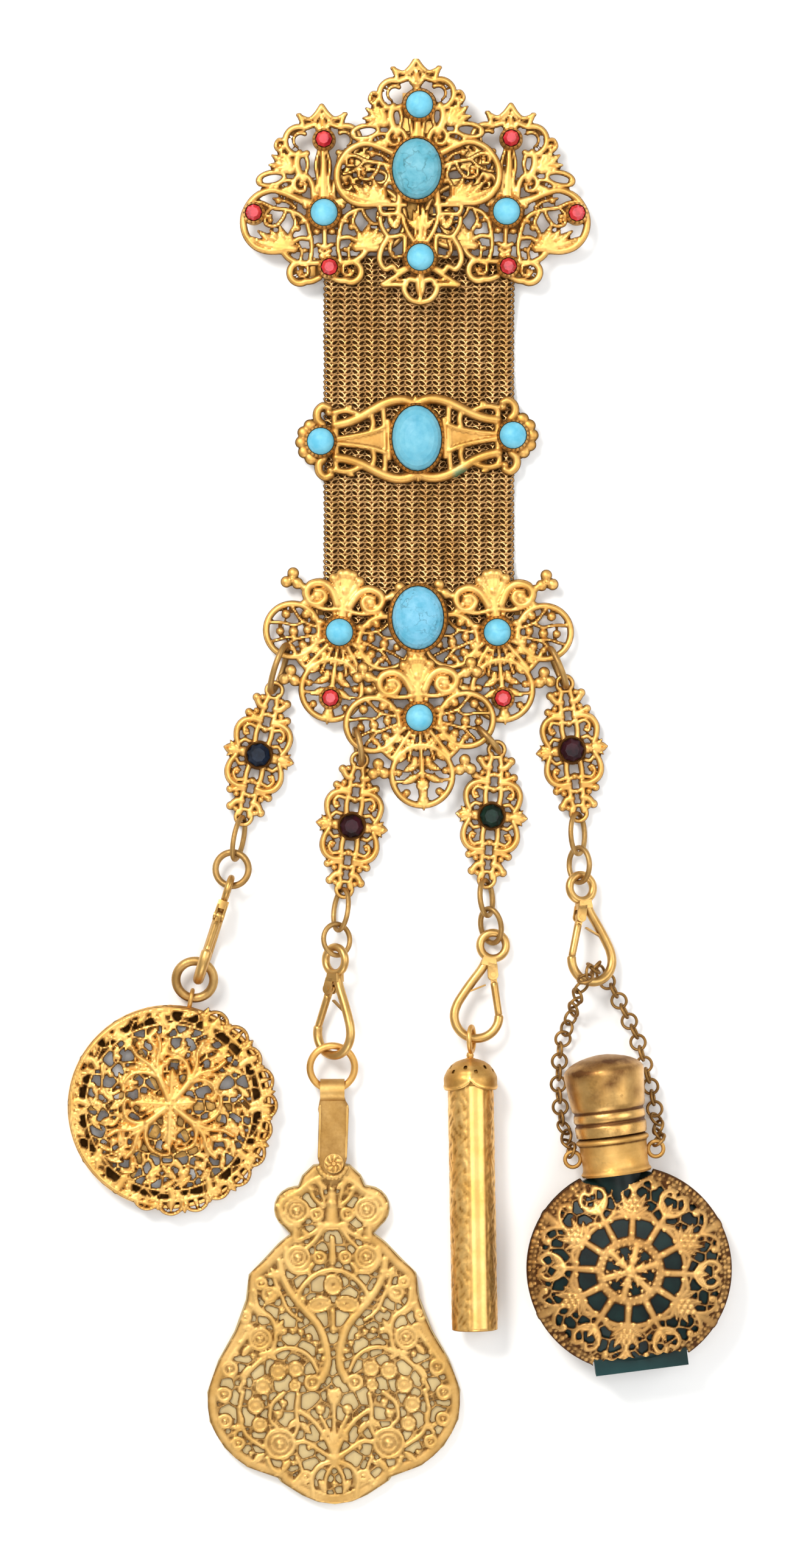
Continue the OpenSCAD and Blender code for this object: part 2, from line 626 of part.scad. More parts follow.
lace_r = 18.3;
module round_case_front() color(gilt) translate(round_c) {
    sheet(round_t - 0.9) {
        dot([0.2, 0.6], 2.6);
        for (a = [80:60:380]) oval_ring(polar([0.2, 0.6], 5.8, a), [3.9, 2.7], 0.9, a);
        ring([0, 0], 9.6, 1.2);
        for (a = [12:30:342]) stroke([polar([0, 0], 9.4, a), polar([0, 0], 15.6, a)], 1.6, 2.6);
        ring([0, 0], 15.6, 1.5);
        stroke(arc([0, 0], lace_r + 0.9, 78, 262, 22), 1.6);
        for (a = [86:28:254]) stroke([polar([0, 0], 15.2, a), polar([0, 0], lace_r + 0.8, a)], 1.8);
        for (a = [-88:20:72]) ring(polar([0, 0], lace_r - 0.2, a), 1.7, 0.9);
    }
    relief(round_t - 0.9) {
        for (a = [80:60:380]) leaf([0.2, 0.6], a, 5.2, 1.9);
        dot([0.2, 0.6], 2.4);
    }
}

// Notebook: covers and ivory leaves on one rivet
book_c = [-13.1, -75.4];
book_turn = 0.6;
rivet = [-12.6, -74.8];
rivet_r = 1.1;
BOOK_SIDE = [[0, 0.7], [3.6, 0.2], [5.8, -1.9], [6.6, -3.9]];
BOOK_FLANK = [[8.3, -13.4], [10.6, -15.2], [13.6, -18.4], [16.5, -21.3], [17.1, -26.2], [19.4, -32.4],
              [22.7, -38.2], [24.9, -44.4], [24.5, -50.2], [21.6, -55.4], [17.2, -59.2], [11.2, -61.4],
              [10.6, -62.2], [6.4, -64.9], [3.4, -66.2], [0, -66.7]];
module book_outline(inset) {
    offset(delta = -inset) both_sides()
        polygon(concat(BOOK_SIDE, arc([7.0, -8.4], 4.4, 85, -55, 8), BOOK_FLANK));
}

// openings of the cover, on one side: x, y, half length, half width, turn
BOOK_OPENINGS = [[3.4, -7.2, 2.0, 0.9, 40], [5.0, -12.8, 1.5, 1.0, 0], [3.4, -15.9, 1.8, 1.1, -15],
                 [8.6, -20.4, 2.6, 1.1, 50], [4.0, -23.0, 2.4, 1.3, -25], [2.9, -30.4, 1.6, 0.9, 0],
                 [7.4, -35.8, 4.4, 1.2, 12], [7.0, -39.8, 3.4, 1.0, 20], [14.2, -33.0, 2.8, 1.1, -50],
                 [16.6, -39.4, 2.3, 1.4, 70], [10.9, -46.4, 3.0, 1.5, 70], [4.6, -48.2, 2.6, 1.5, 75],
                 [18.2, -51.0, 2.6, 1.2, 75], [12.8, -57.2, 3.0, 1.2, 15], [3.0, -60.6, 2.2, 1.5, 30]];
module notebook_sheet(z, t, inset, pierced) {
    translate([0, 0, z]) linear_extrude(t) difference() {
        translate(book_c) rotate(book_turn) difference() {
            book_outline(inset);
            if (pierced) both_sides() for (o = BOOK_OPENINGS)
                translate([o[0], o[1]]) rotate(o[4]) scale([o[2], o[3]]) circle(1, $fn = 14);
        }
        translate(rivet) circle(rivet_r + 0.15, $fn = 32);
    }
}

leaf_1_z = cover_t + gap;
leaf_2_z = leaf_1_z + leaf_t + gap;
cover_z = leaf_2_z + leaf_t + gap;
strap_z = cover_z + cover_t + gap;
module notebook_back() color(gilt) {
    linear_extrude(cover_t) translate(book_c) rotate(book_turn) book_outline(0.3);
    translate([rivet[0], rivet[1], 0.1]) cylinder(strap_z + 1.0, r = rivet_r, $fn = 32);
    translate([rivet[0], rivet[1], strap_z + 0.9]) cylinder(0.7, r = 1.9, $fn = 32);
}

module notebook_leaf_1() color("#e9dfc0") notebook_sheet(leaf_1_z, leaf_t, 0, false);
module notebook_leaf_2() color("#efe6cb") notebook_sheet(leaf_2_z, leaf_t, 0.1, false);
module notebook_cover() color(gilt) notebook_sheet(cover_z, cover_t, 0.2, true);

// the strap that carries the notebook: a loop round the ring, then a flat tongue on the rivet
strap_mid = -12.9;
strap_w = 5.8;
loop_c = [-60.6, 2.6];
loop_r = 1.66;
loop_w = 3.8;
strap_t = 0.7;
module notebook_strap() color(gilt) {
    difference() {
        union() {
            translate([strap_mid - loop_w / 2, loop_c[0], loop_c[1]]) rotate([0, 90, 0])
                cylinder(loop_w, r = loop_r + strap_t, $fn = 32);
            translate([strap_mid - strap_w / 2, -73.6, strap_z]) cube([strap_w, 11.2, strap_t]);
            translate([strap_mid - loop_w / 2, -63, strap_z]) cube([loop_w, 2.2, strap_t]);
            translate([strap_mid, -74.6, strap_z]) cylinder(strap_t, r = strap_w / 2, $fn = 32);
        }
        translate([-20, loop_c[0], loop_c[1]]) rotate([0, 90, 0]) cylinder(20, r = loop_r, $fn = 32);
        translate([rivet[0], rivet[1], 0]) cylinder(20, r = rivet_r + 0.15, $fn = 32);
    }
}

module notebook_ring() color(gilt)
    translate([strap_mid, -56.04, 3.5]) rotate([11.5, 3, 0]) torus(4.4, 0.72);

// Needle case: a petalled cap with a loop, and a tube that pulls off it
case_turn = 1.0;
case_top = [14.15, -54.2];
cap_l = 6.0;
cap_r = 5.3;
plug_l = 5;
module case_axis() {
    translate([case_top[0], case_top[1], cap_r + 0.05]) rotate([0, 0, case_turn]) rotate([90, 0, 0])
        children();
}

module needle_case_cap() color(gilt) {
    bore = case_d / 2 + gap;
    case_axis() {
        rotate_extrude($fn = 48) polygon([[0, 0], [2.6, 0.2], [4.4, 1.4], [cap_r - 0.1, 3.0], [cap_r, 4.6],
            [cap_r - 0.3, cap_l], [bore, cap_l], [bore, 3.2], [0, 3.2]]);
        difference() {
            translate([0, 0, 3.0]) cylinder(plug_l + 0.2, r = case_d / 2 - case_wall - gap, $fn = 40);
            translate([0, 0, 3.4]) cylinder(plug_l, r = case_d / 2 - case_wall - gap - 0.7, $fn = 40);
        }
    }
    translate([14.4, -50.4, cap_r + 0.05]) rotate([0, 90, 0]) torus(2.5, 0.48);
    case_axis() translate([0, 0, -1.3]) cylinder(1.8, r = 1.0, $fn = 24);
}

tube_l = 50;
tube_start = 3.2 + gap;
module needle_case_tube() color("#d6ab4e") case_axis() translate([0, 0, tube_start]) difference() {
    cylinder(tube_l, r = case_d / 2, $fn = 48);
    translate([0, 0, -1]) cylinder(tube_l - case_wall + 1, r = case_d / 2 - case_wall, $fn = 48);
}

// Scent bottle: glass in a pierced cage, a collar, a cap and its chain
bottle_c = [45.2, -95.2];
bottle_turn = 7.3;
bottle_z = 8;
glass_wall = 1.6;
cage_t = 0.8;
neck_r = 5.0;
neck_bore = 3.6;
neck_top = 25.4;
module bottle_at() {
    translate([bottle_c[0], bottle_c[1], bottle_z]) rotate([0, 0, bottle_turn]) children();
}

// half of a lens's profile: radius and height over the middle plane
function lens(r, h) = [[0, -h], [0.55 * r, -0.86 * h], [0.88 * r, -0.56 * h], [r, -0.2 * h],
                       [r, 0.2 * h], [0.88 * r, 0.56 * h], [0.55 * r, 0.86 * h], [0, h]];

module bottle_glass() color("#1d4a44") bottle_at() difference() {
    union() {
        rotate_extrude($fn = 64) polygon(lens(bottle_r, bottle_half - gap));
        translate([0, 14, 0]) rotate([-90, 0, 0]) cylinder(neck_top - 14, r = neck_r, $fn = 40);
        translate([-9.1, -bottle_r - 0.4, -3.2]) cube([18.2, 3.4, 6.4]);
    }
    rotate_extrude($fn = 64) polygon(lens(bottle_r - glass_wall - 0.6, bottle_half - gap - glass_wall));
    translate([0, 8, 0]) rotate([-90, 0, 0]) cylinder(neck_top, r = neck_bore, $fn = 40);
}

// the cage's holes, ring by ring: count, radius of their middles, half length, half width, first angle
CAGE_HOLES = [[6, 4.6, 1.2, 1.4, 30], [12, 9.2, 1.7, 1.4, 5], [10, 15.2, 1.6, 2.1, 18]];
module cage_skin() {
    outer = bottle_half + cage_t;
    difference() {
        rotate_extrude($fn = 64) polygon(lens(bottle_r + cage_t, outer));
        rotate_extrude($fn = 64) polygon(lens(bottle_r + gap + 0.02, bottle_half + 0.02));
        translate([0, 18, 0]) rotate([-90, 0, 0]) cylinder(20, r = 7.4, $fn = 40);
        translate([0, 12, 0]) rotate([-90, 0, 0]) cylinder(20, r = neck_r + 0.12, $fn = 40);
        translate([-9.4, -30, -10]) cube([18.8, 30 - bottle_r + 3.3, 20]);
        linear_extrude(20) for (k = CAGE_HOLES) for (i = [0:k[0] - 1]) rotate(k[4] + 360 * i / k[0])
            translate([k[1], 0]) scale([k[2], k[3]]) circle(1, $fn = 10);
    }
}

module bottle_cage() color(gilt) bottle_at() cage_skin();

collar_y = 20.2;
collar_l = 6.0;
collar_r = 6.6;
side_ring = [8.2, 22.6];
module bottle_collar() color(gilt) bottle_at() {
    bore = neck_r + gap + 0.02;
    lip = collar_r + 0.6;
    rotate([-90, 0, 0]) rotate_extrude($fn = 48)
        polygon([[bore, collar_y], [collar_r - 0.2, collar_y], [collar_r, collar_y + 3],
                 [collar_r, collar_y + 4.6], [lip, collar_y + 5], [lip, collar_y + 5.6],
                 [collar_r, collar_y + collar_l], [bore, collar_y + collar_l]]);
    for (s = [-1, 1]) translate([s * side_ring[0], side_ring[1], 0]) torus(1.5, 0.4);
}

cap_y = collar_y + collar_l + 0.15;
cap_h = 16;
module bottle_cap() color("#b98f3c") bottle_at() rotate([-90, 0, 0]) {
    rotate_extrude($fn = 48) translate([0, cap_y])
        polygon([[0, 2], [5.6, 2], [5.6, 0], [6.9, 0], [7.0, 2.2], [6.7, 2.7], [7.1, 3.2], [6.9, 4.6],
                 [7.2, 5.2], [7.9, 12.4], [7.3, 13.6], [4.6, 15.2], [0, cap_h]]);
    translate([0, 0, neck_top - 5]) cylinder(cap_y + 3 - neck_top + 5, r = neck_bore - 0.25, $fn = 40);
}

// the chain's way, drawn from the left side ring up over the hook's bow and down: x, y, z
CHAIN_PATH = [[33.9, -72.1, 7.5], [33.2, -70.2, 4.2], [32.2, -66.4, 1.4], [31.5, -60, 1.35],
              [31.9, -52, 1.35], [34.2, -45.6, 2.2], [35.2, -41.7, 6.9], [36.5, -38.6, 9.15],
              [38.1, -36.5, 6.4], [38.9, -36.4, 2.8], [40.2, -37.9, 1.3], [42.4, -40.8, 1.35],
              [46.6, -49.2, 1.35], [47.8, -53, 1.35], [49.8, -60.2, 1.35], [50.8, -66, 1.6],
              [51.2, -68.4, 4.4], [51.1, -70.06, 7.5]];
module bottle_chain() color(gilt) {
    chain_pitch = 2.24;
    n = len(CHAIN_PATH);
    run = [for (i = 0, s = 0; i < n;
                s = s + (i < n - 1 ? norm(CHAIN_PATH[i + 1] - CHAIN_PATH[i]) : 0), i = i + 1) s];
    count = floor(run[n - 1] / chain_pitch);
    pitch = run[n - 1] / count;
    for (k = [0:count]) {
        s = min(k * pitch, run[n - 1] - 0.001);
        i = max([for (j = [0:n - 2]) if (run[j] <= s) j]);
        f = (s - run[i]) / (run[i + 1] - run[i]);
        d = CHAIN_PATH[i + 1] - CHAIN_PATH[i];
        translate(CHAIN_PATH[i] + d * f)
            rotate([0, 0, atan2(d[1], d[0])]) rotate([0, -atan2(d[2], norm([d[0], d[1]])), 0])
                rotate([k % 2 == 0 ? 135 : 45, 0, 0]) torus(1.4, 0.22);
    }
}

module brooch_cabochon() color(turquoise) translate(big_c)
    oval_cabochon(big_stone, brooch_top_z, big_setting_h, 3.2);
module slider_cabochon() color(turquoise) place(slider_c[0], slider_c[1], slider_turn)
    oval_cabochon([4.85, 6.4], slider_z, big_setting_h, 3.2);
module lower_cabochon() color(turquoise) translate(lower_big)
    oval_cabochon([5.05, 6.2], lower_top_z, big_setting_h, 3.2);
module round_turquoise(x, y, z, h) color(turquoise) translate([x, y]) cabochon(turquoise_d, z, h);

module brooch_red_stones() color(red) for (i = [0:1]) fan_at(i)
    for (c = [[0.3, 14.4], [0.8, -10.7], [i == 0 ? -13.8 : 13.8, 0.3]]) translate(c)
        cut_stone(red_d, brooch_z, 2.3);
module lower_red_stones() color(red) for (i = [0:1]) lobe_at(i) translate([0, -red_drop])
    cut_stone(red_d, lower_z, 2.2);

module slider_turquoise(s) color(turquoise) place(slider_c[0], slider_c[1], slider_turn)
    translate([s * slider_end, 0]) cabochon(turquoise_d, slider_z, 2.4);

brooch_plate();
brooch_overlay();
belt_hook();
mesh_ribbon();
slider();
lower_plate();
lower_overlay();
brooch_cabochon();
slider_cabochon();
lower_cabochon();
round_turquoise(4.2, 132.8, brooch_top_z, 2.5);  // brooch_turquoise_top
round_turquoise(FANS[0][0], FANS[0][1], brooch_z, 2.6);  // brooch_turquoise_left
round_turquoise(FANS[1][0], FANS[1][1], brooch_z, 2.6);  // brooch_turquoise_right
round_turquoise(strap_x, strap_y, brooch_top_z, 2.5);  // brooch_turquoise_bottom
slider_turquoise(-1);  // slider_turquoise_left
slider_turquoise(1);  // slider_turquoise_right
round_turquoise(LOBES[0][0], LOBES[0][1], lower_z, 2.5);  // lower_turquoise_left
round_turquoise(LOBES[1][0], LOBES[1][1], lower_z, 2.5);  // lower_turquoise_right
round_turquoise(LOBES[2][0], LOBES[2][1], lower_top_z, 2.5);  // lower_turquoise_bottom
brooch_red_stones();
lower_red_stones();
drop_plate(0);  // drop_1_plate
drop_plate(1);  // drop_2_plate
drop_plate(2);  // drop_3_plate
drop_plate(3);  // drop_4_plate
drop_stone(0);  // drop_1_stone
drop_stone(1);  // drop_2_stone
drop_stone(2);  // drop_3_stone
drop_stone(3);  // drop_4_stone
drop_links(0);  // drop_1_links
drop_links(1);  // drop_2_links
drop_links(2);  // drop_3_links
drop_links(3);  // drop_4_links
hook(0);  // hook_1
hook(1);  // hook_2
hook(2);  // hook_3
hook(3);  // hook_4
gate(0);  // gate_1
gate(1);  // gate_2
gate(2);  // gate_3
gate(3);  // gate_4
round_case_ring();
round_case_front();
round_case_rim();
round_case_back();
notebook_ring();
notebook_strap();
notebook_cover();
notebook_leaf_1();
notebook_leaf_2();
notebook_back();
needle_case_cap();
needle_case_tube();
bottle_glass();
bottle_cage();
bottle_collar();
bottle_cap();
bottle_chain();
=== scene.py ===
import math

import bpy
import numpy as np
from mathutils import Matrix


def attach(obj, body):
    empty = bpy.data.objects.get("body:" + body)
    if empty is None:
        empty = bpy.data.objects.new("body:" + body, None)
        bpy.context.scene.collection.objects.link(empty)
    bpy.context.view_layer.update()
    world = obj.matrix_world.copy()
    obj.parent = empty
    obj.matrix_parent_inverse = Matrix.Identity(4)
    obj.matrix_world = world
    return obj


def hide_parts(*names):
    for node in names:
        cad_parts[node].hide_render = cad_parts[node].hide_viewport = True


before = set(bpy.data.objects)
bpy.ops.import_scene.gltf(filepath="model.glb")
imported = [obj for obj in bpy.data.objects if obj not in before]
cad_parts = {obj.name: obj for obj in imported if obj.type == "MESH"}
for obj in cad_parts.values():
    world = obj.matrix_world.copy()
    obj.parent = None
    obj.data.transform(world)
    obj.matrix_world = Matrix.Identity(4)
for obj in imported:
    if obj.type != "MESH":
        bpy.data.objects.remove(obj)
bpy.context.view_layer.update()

MM = 0.001
ROOT = "chatelaine"
POST = 1.4          # width of a post behind a plaque, mm
GRID = 0.27         # spacing of a stamping's surface, mm
EDGE = 0.42         # height of a stamped sheet at its cut edge, mm

# half width, half length and teeth of the small stones' settings
BLUE_SETTING = (2.6, 2.6, 22)
RED_SETTING = (1.6, 1.6, 14)

# levels of part.scad in mm, and its places as x, y and turn
BROOCH_Z = 4.0
BROOCH_TOP_Z = 5.4
SLIDER_Z = 2.45
LOWER_Z = 2.4
LOWER_TOP_Z = 3.8
PLATE_Z = 1.6
FANS = [(-14.5, 111.8, 1.3), (21.3, 112.0, -2.4), (3.9, 120.8, 1.0)]
SIDE_FANS = ((FANS[0], -1), (FANS[1], 1))
STRAPWORK = (4.4, 102.9, 0)
BIG_BROOCH = (3.7, 120.2, 0)
TOP_BLUE = (4.2, 132.8, 0)
SLIDER = (3.7, 67.6, 1.8)
SLIDER_END = 18.9
LOBES = [(-11.5, 29.5, -7.8), (19.5, 29.5, 5.0), (4.2, 12.7, 2.8)]
BIG_LOWER = (3.9, 32.3, 0)
RED_DROP = 13.0
DROPS = [(-27.4, 5.4, -13.7), (-9.1, -8.6, -6.8), (18.4, -6.6, -4.4), (34.2, 6.4, 6.3)]


# Materials
class Finish:
    """A material's node tree, with short ways to add to it."""

    def __init__(self, name):
        self.material = bpy.data.materials.new(name)
        self.material.use_nodes = True
        self.tree = self.material.node_tree
        self.coords = self.new("TexCoord").outputs["Object"]

    def new(self, kind, **settings):
        node = self.tree.nodes.new("ShaderNode" + kind)
        for key, value in settings.items():
            setattr(node, key, value)
        return node

    def plug(self, value, socket):
        """Give a socket its link, its number or its colour."""
        if isinstance(value, bpy.types.NodeSocket):
            self.tree.links.new(value, socket)
        else:
            socket.default_value = value

    def surface(self, **values):
        """Give the shader's sockets their values; an underscore stands for a space."""
        for key, value in values.items():
            self.plug(value, self.tree.nodes["Principled BSDF"].inputs[key.replace("_", " ")])
        return self.material

    def noise(self, scale, detail=4.0, rough=0.55, stretch=None, out="Fac"):
        node = self.new("TexNoise")
        for key, value in (("Scale", scale), ("Detail", detail), ("Roughness", rough)):
            node.inputs[key].default_value = value
        source = self.coords
        if stretch:
            mapping = self.new("Mapping")
            mapping.inputs["Scale"].default_value = stretch
            self.plug(source, mapping.inputs["Vector"])
            source = mapping.outputs["Vector"]
        self.plug(source, node.inputs["Vector"])
        return node.outputs[out]

    def ramp(self, fac, *stops):
        """Two colours by place; a bare number is a grey."""
        node = self.new("ValToRGB")
        for element, (place, colour) in zip(node.color_ramp.elements, stops):
            element.position = place
            element.color = (*colour, 1) if isinstance(colour, tuple) else (colour, colour, colour, 1)
        self.plug(fac, node.inputs["Fac"])
        return node.outputs["Color"]

    def mix(self, fac, a, b):
        node = self.new("Mix", data_type="RGBA")
        for socket, value in zip((0, 6, 7), (fac, a, b)):
            self.plug((*value, 1) if isinstance(value, tuple) else value, node.inputs[socket])
        return node.outputs[2]

    def maths(self, kind, *values, clamp=False):
        node = self.new("Math", operation=kind, use_clamp=clamp)
        for value, socket in zip(values, node.inputs):
            self.plug(value, socket)
        return node.outputs[0]

    def bump(self, height, strength, distance):
        node = self.new("Bump")
        node.inputs["Strength"].default_value = strength
        node.inputs["Distance"].default_value = distance * MM
        self.plug(height, node.inputs["Height"])
        return node.outputs["Normal"]


def metal(name, light, mid, dark, rough=(0.40, 0.56), wear=0.5, grain=0.03, stain=None):
    """Gilt: cloudy in colour, browned in the recesses by patina and painted shade, with fine grain in its
    gloss.
    """
    f = Finish(name)
    cloud, fine, blotch = f.noise(170, 5), f.noise(1900, 3), f.noise(420, 6, 0.65)
    # the vertex attribute browns the hollows and lower parts: partly patina, partly painted shade
    patina_and_shade = f.new("Attribute", attribute_name="patina_and_shade").outputs["Fac"]
    depth = f.maths("MULTIPLY", patina_and_shade, f.maths("MULTIPLY_ADD", blotch, 1.6, 0.5), clamp=True)
    spots = f.maths("MULTIPLY", f.ramp(blotch, (0.60, 0), (0.74, wear)), 0.55)
    brown = f.maths("MAXIMUM", depth, spots)
    tone = f.mix(brown, f.ramp(cloud, (0.36, mid), (0.62, light)), dark)
    if stain:
        away = f.new("VectorMath", operation="DISTANCE")
        f.plug(f.coords, away.inputs[0])
        f.plug(stain, away.inputs[1])
        near = f.maths("ADD", away.outputs["Value"], f.maths("MULTIPLY_ADD", blotch, 0.0022, -0.0011))
        spot = f.ramp(f.maths("MULTIPLY", near, 300.0), (0.25, 0.85), (0.6, 0))
        tone = f.mix(spot, tone, VERDIGRIS)
    gloss = f.ramp(fine, (0.3, rough[0]), (0.7, rough[1]))
    return f.surface(Base_Color=tone, Metallic=1.0, Normal=f.bump(f.maths("ADD", fine, blotch), 0.35, grain),
                     Roughness=f.maths("ADD", gloss, f.maths("MULTIPLY", brown, 0.25)))


def stone(name, colours, vein, vein_amount, scale=330, crackle=150):
    """Opaque cabochon: clouded blue with darker veins under a dull polish."""
    f = Finish(name)
    cloud = f.noise(scale, 6, 0.6)
    warp = f.new("VectorMath", operation="MULTIPLY_ADD")
    bend = f.noise(crackle * 2.2, 2, 0.5, out="Color")
    for value, socket in zip((bend, (0.004,) * 3, f.coords), warp.inputs):
        f.plug(value, socket)
    cells = f.new("TexVoronoi", feature="DISTANCE_TO_EDGE")
    cells.inputs["Scale"].default_value = crackle
    f.plug(warp.outputs[0], cells.inputs["Vector"])
    lines = f.ramp(cells.outputs["Distance"], (0, vein_amount), (0.07, 0))
    patch = f.ramp(f.noise(260, 2), (0.42, 0), (0.6, 1))
    body = f.ramp(cloud, (0.35, colours[0]), (0.65, colours[1]))
    colour = f.mix(f.maths("MULTIPLY", lines, patch), body, vein)
    return f.surface(Base_Color=colour, Roughness=0.46, Specular_IOR_Level=0.3, Subsurface_Weight=0.08,
                     Subsurface_Radius=(0.0006, 0.0009, 0.001), Normal=f.bump(cloud, 0.12, 0.05))


def gem(name, deep, bright, rough=0.26, gloss=0.12):
    """Cut stone: a dark glassy body that clouds slightly from facet to facet."""
    f = Finish(name)
    colour = f.ramp(f.noise(520, 3), (0.36, deep), (0.68, bright))
    return f.surface(Base_Color=colour, Roughness=rough, IOR=1.5, Specular_IOR_Level=gloss,
                     Normal=f.bump(f.noise(1500, 2), 0.06, 0.02))


def ivory():
    """Old ivory: yellowed, with a long grain and brown stains."""
    f = Finish("ivory")
    grain = f.noise(260, 5, 0.6, (1, 0.12, 1))
    colour = f.ramp(grain, (0.3, (0.42, 0.30, 0.12)), (0.7, (0.54, 0.41, 0.18)))
    colour = f.mix(f.ramp(f.noise(110, 4), (0.5, 0), (0.75, 0.5)), colour, (0.34, 0.22, 0.09))
    return f.surface(Base_Color=colour, Roughness=0.38, Subsurface_Weight=0.1,
                     Subsurface_Radius=(0.001, 0.0008, 0.0005), Normal=f.bump(grain, 0.15, 0.05))


def bottle_green():
    """Dark green glass: nearly opaque, dulled with age, and teal in the bottle's foot."""
    f = Finish("dark_glass")
    cloud = f.noise(150, 5)
    split = f.new("SeparateXYZ")
    f.plug(f.coords, split.inputs["Vector"])
    down = f.maths("MULTIPLY_ADD", split.outputs["Y"], *TEAL_FADE, clamp=True)
    body = f.ramp(cloud, (0.35, (0.0015, 0.005, 0.0045)), (0.68, (0.005, 0.020, 0.018)))
    return f.surface(Base_Color=f.mix(down, body, TEAL), Roughness=0.36, IOR=1.45, Specular_IOR_Level=0.22,
                     Normal=f.bump(cloud, 0.08, 0.1))


VERDIGRIS = (0.16, 0.34, 0.20)
TEAL = (0.006, 0.048, 0.050)
TEAL_FADE = (-120.0, -13.3)     # slope and start of the teal down the bottle
GOLD = metal("gilt", (0.80, 0.485, 0.155), (0.65, 0.355, 0.090), (0.14, 0.062, 0.016))
SLIDER_GOLD = metal("slider_gilt", (0.68, 0.39, 0.115), (0.52, 0.27, 0.062), (0.11, 0.048, 0.012),
                    stain=(0.0122, 0.0607, 0.003))
POLISHED = metal("polished_gilt", (0.66, 0.41, 0.14), (0.52, 0.30, 0.09), (0.18, 0.085, 0.024),
                 (0.30, 0.44), 0.35, 0.02)
WORN = metal("worn_gilt", (0.62, 0.39, 0.14), (0.44, 0.25, 0.075), (0.10, 0.050, 0.018),
             (0.36, 0.54), 0.9, 0.05)
COVER_GOLD = metal("cover_gilt", (0.66, 0.42, 0.15), (0.53, 0.31, 0.09), (0.17, 0.080, 0.022), (0.42, 0.56))
CAGE_GOLD = metal("cage_gilt", (0.80, 0.48, 0.17), (0.62, 0.34, 0.105), (0.10, 0.040, 0.014),
                  (0.38, 0.54), 0.9)
CASE_GOLD = metal("case_gilt", (0.92, 0.58, 0.20), (0.84, 0.47, 0.125), (0.30, 0.15, 0.03),
                  (0.30, 0.42), 0.3, 0.02)
BRASS = metal("cap_brass", (0.78, 0.48, 0.17), (0.60, 0.33, 0.095), (0.14, 0.060, 0.020),
              (0.24, 0.38), 1.0, 0.04)
LINKS = metal("mesh_gilt", (0.56, 0.33, 0.135), (0.38, 0.205, 0.07), (0.07, 0.030, 0.008),
              (0.30, 0.44), 0.6, 0.02)
CHAIN_GOLD = metal("chain_gilt", (0.52, 0.29, 0.09), (0.36, 0.19, 0.05), (0.08, 0.04, 0.015),
                   (0.34, 0.50), 0.6, 0.02)
BLUE = stone("turquoise_small", [(0.09, 0.38, 0.53), (0.17, 0.49, 0.62)], (0.05, 0.20, 0.28), 0.25)
BLUE_TOP = stone("turquoise_top", [(0.065, 0.28, 0.36), (0.145, 0.38, 0.46)], (0.03, 0.12, 0.13), 0.7,
                 420, 260)
BLUE_MIDDLE = stone("turquoise_middle", [(0.08, 0.32, 0.44), (0.15, 0.41, 0.51)], (0.05, 0.20, 0.28), 0.15)
BLUE_LOWER = stone("turquoise_lower", [(0.082, 0.33, 0.465), (0.165, 0.42, 0.565)], (0.03, 0.13, 0.17), 0.7,
                   420, 340)
RED = gem("red_stone", (0.30, 0.008, 0.018), (0.66, 0.035, 0.050), 0.18, 0.4)
DARKS = [gem("dark_blue_stone", (0.002, 0.004, 0.010), (0.008, 0.016, 0.034)),
         gem("dark_garnet", (0.008, 0.002, 0.003), (0.034, 0.005, 0.010)),
         gem("dark_green_stone", (0.002, 0.006, 0.004), (0.007, 0.028, 0.018)),
         gem("garnet", (0.009, 0.002, 0.004), (0.040, 0.007, 0.012))]
IVORY = ivory()

NODE_MATERIALS = {
    "brooch_cabochon": BLUE_TOP, "slider_cabochon": BLUE_MIDDLE, "lower_cabochon": BLUE_LOWER,
    "brooch_red_stones": RED, "lower_red_stones": RED, "notebook_leaf_1": IVORY, "notebook_leaf_2": IVORY,
    "bottle_glass": bottle_green(), "notebook_back": COVER_GOLD,
}
for number, dark_stone in enumerate(DARKS, 1):
    NODE_MATERIALS[f"drop_{number}_stone"] = dark_stone
for node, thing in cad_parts.items():
    thing.data.materials.clear()
    thing.data.materials.append(NODE_MATERIALS.get(node, BLUE if "turquoise" in node else GOLD))


# Meshes
class Shell:
    """Vertices, faces and the browning of each vertex, patina and painted shade, gathered for one piece."""

    def __init__(self):
        self.verts = []
        self.faces = []
        self.patina_and_shade = []
        self.count = 0

    def add(self, verts, faces, patina_and_shade=0.0):
        verts = np.asarray(verts, float)
        self.verts.append(verts)
        self.faces.extend([tuple(int(i) + self.count for i in f) for f in faces])
        self.patina_and_shade.append(np.broadcast_to(np.asarray(patina_and_shade, float), (len(verts),)))
        self.count += len(verts)

    def place(self, part, turn, shift, mirrored=False, patina_and_shade=0.1):
        """Add a part's vertices and faces, turned by a matrix and then moved."""
        verts, faces = part
        faces = [f[::-1] for f in faces] if mirrored else faces
        self.add(np.asarray(verts) @ turn.T + shift, faces, patina_and_shade)

    def make(self, name, material, replaces=None, body=ROOT, angle=40):
        """Turn what the shell holds into one piece."""
        mesh = bpy.data.meshes.new(name)
        mesh.from_pydata([tuple(v) for v in np.concatenate(self.verts) * MM], [], self.faces)
        mesh.materials.append(material)
        mesh.polygons.foreach_set("use_smooth", [True] * len(mesh.polygons))
        mesh.set_sharp_from_angle(angle=math.radians(angle))
        # the browning, patina and painted shade, goes to the material as a vertex attribute
        layer = mesh.attributes.new("patina_and_shade", "FLOAT", "POINT")
        layer.data.foreach_set("value", np.concatenate(self.patina_and_shade).astype(np.float32))
        mesh.validate()
        thing = bpy.data.objects.new(name, mesh)
        bpy.context.scene.collection.objects.link(thing)
        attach(thing, body)
        if replaces:
            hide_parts(replaces)


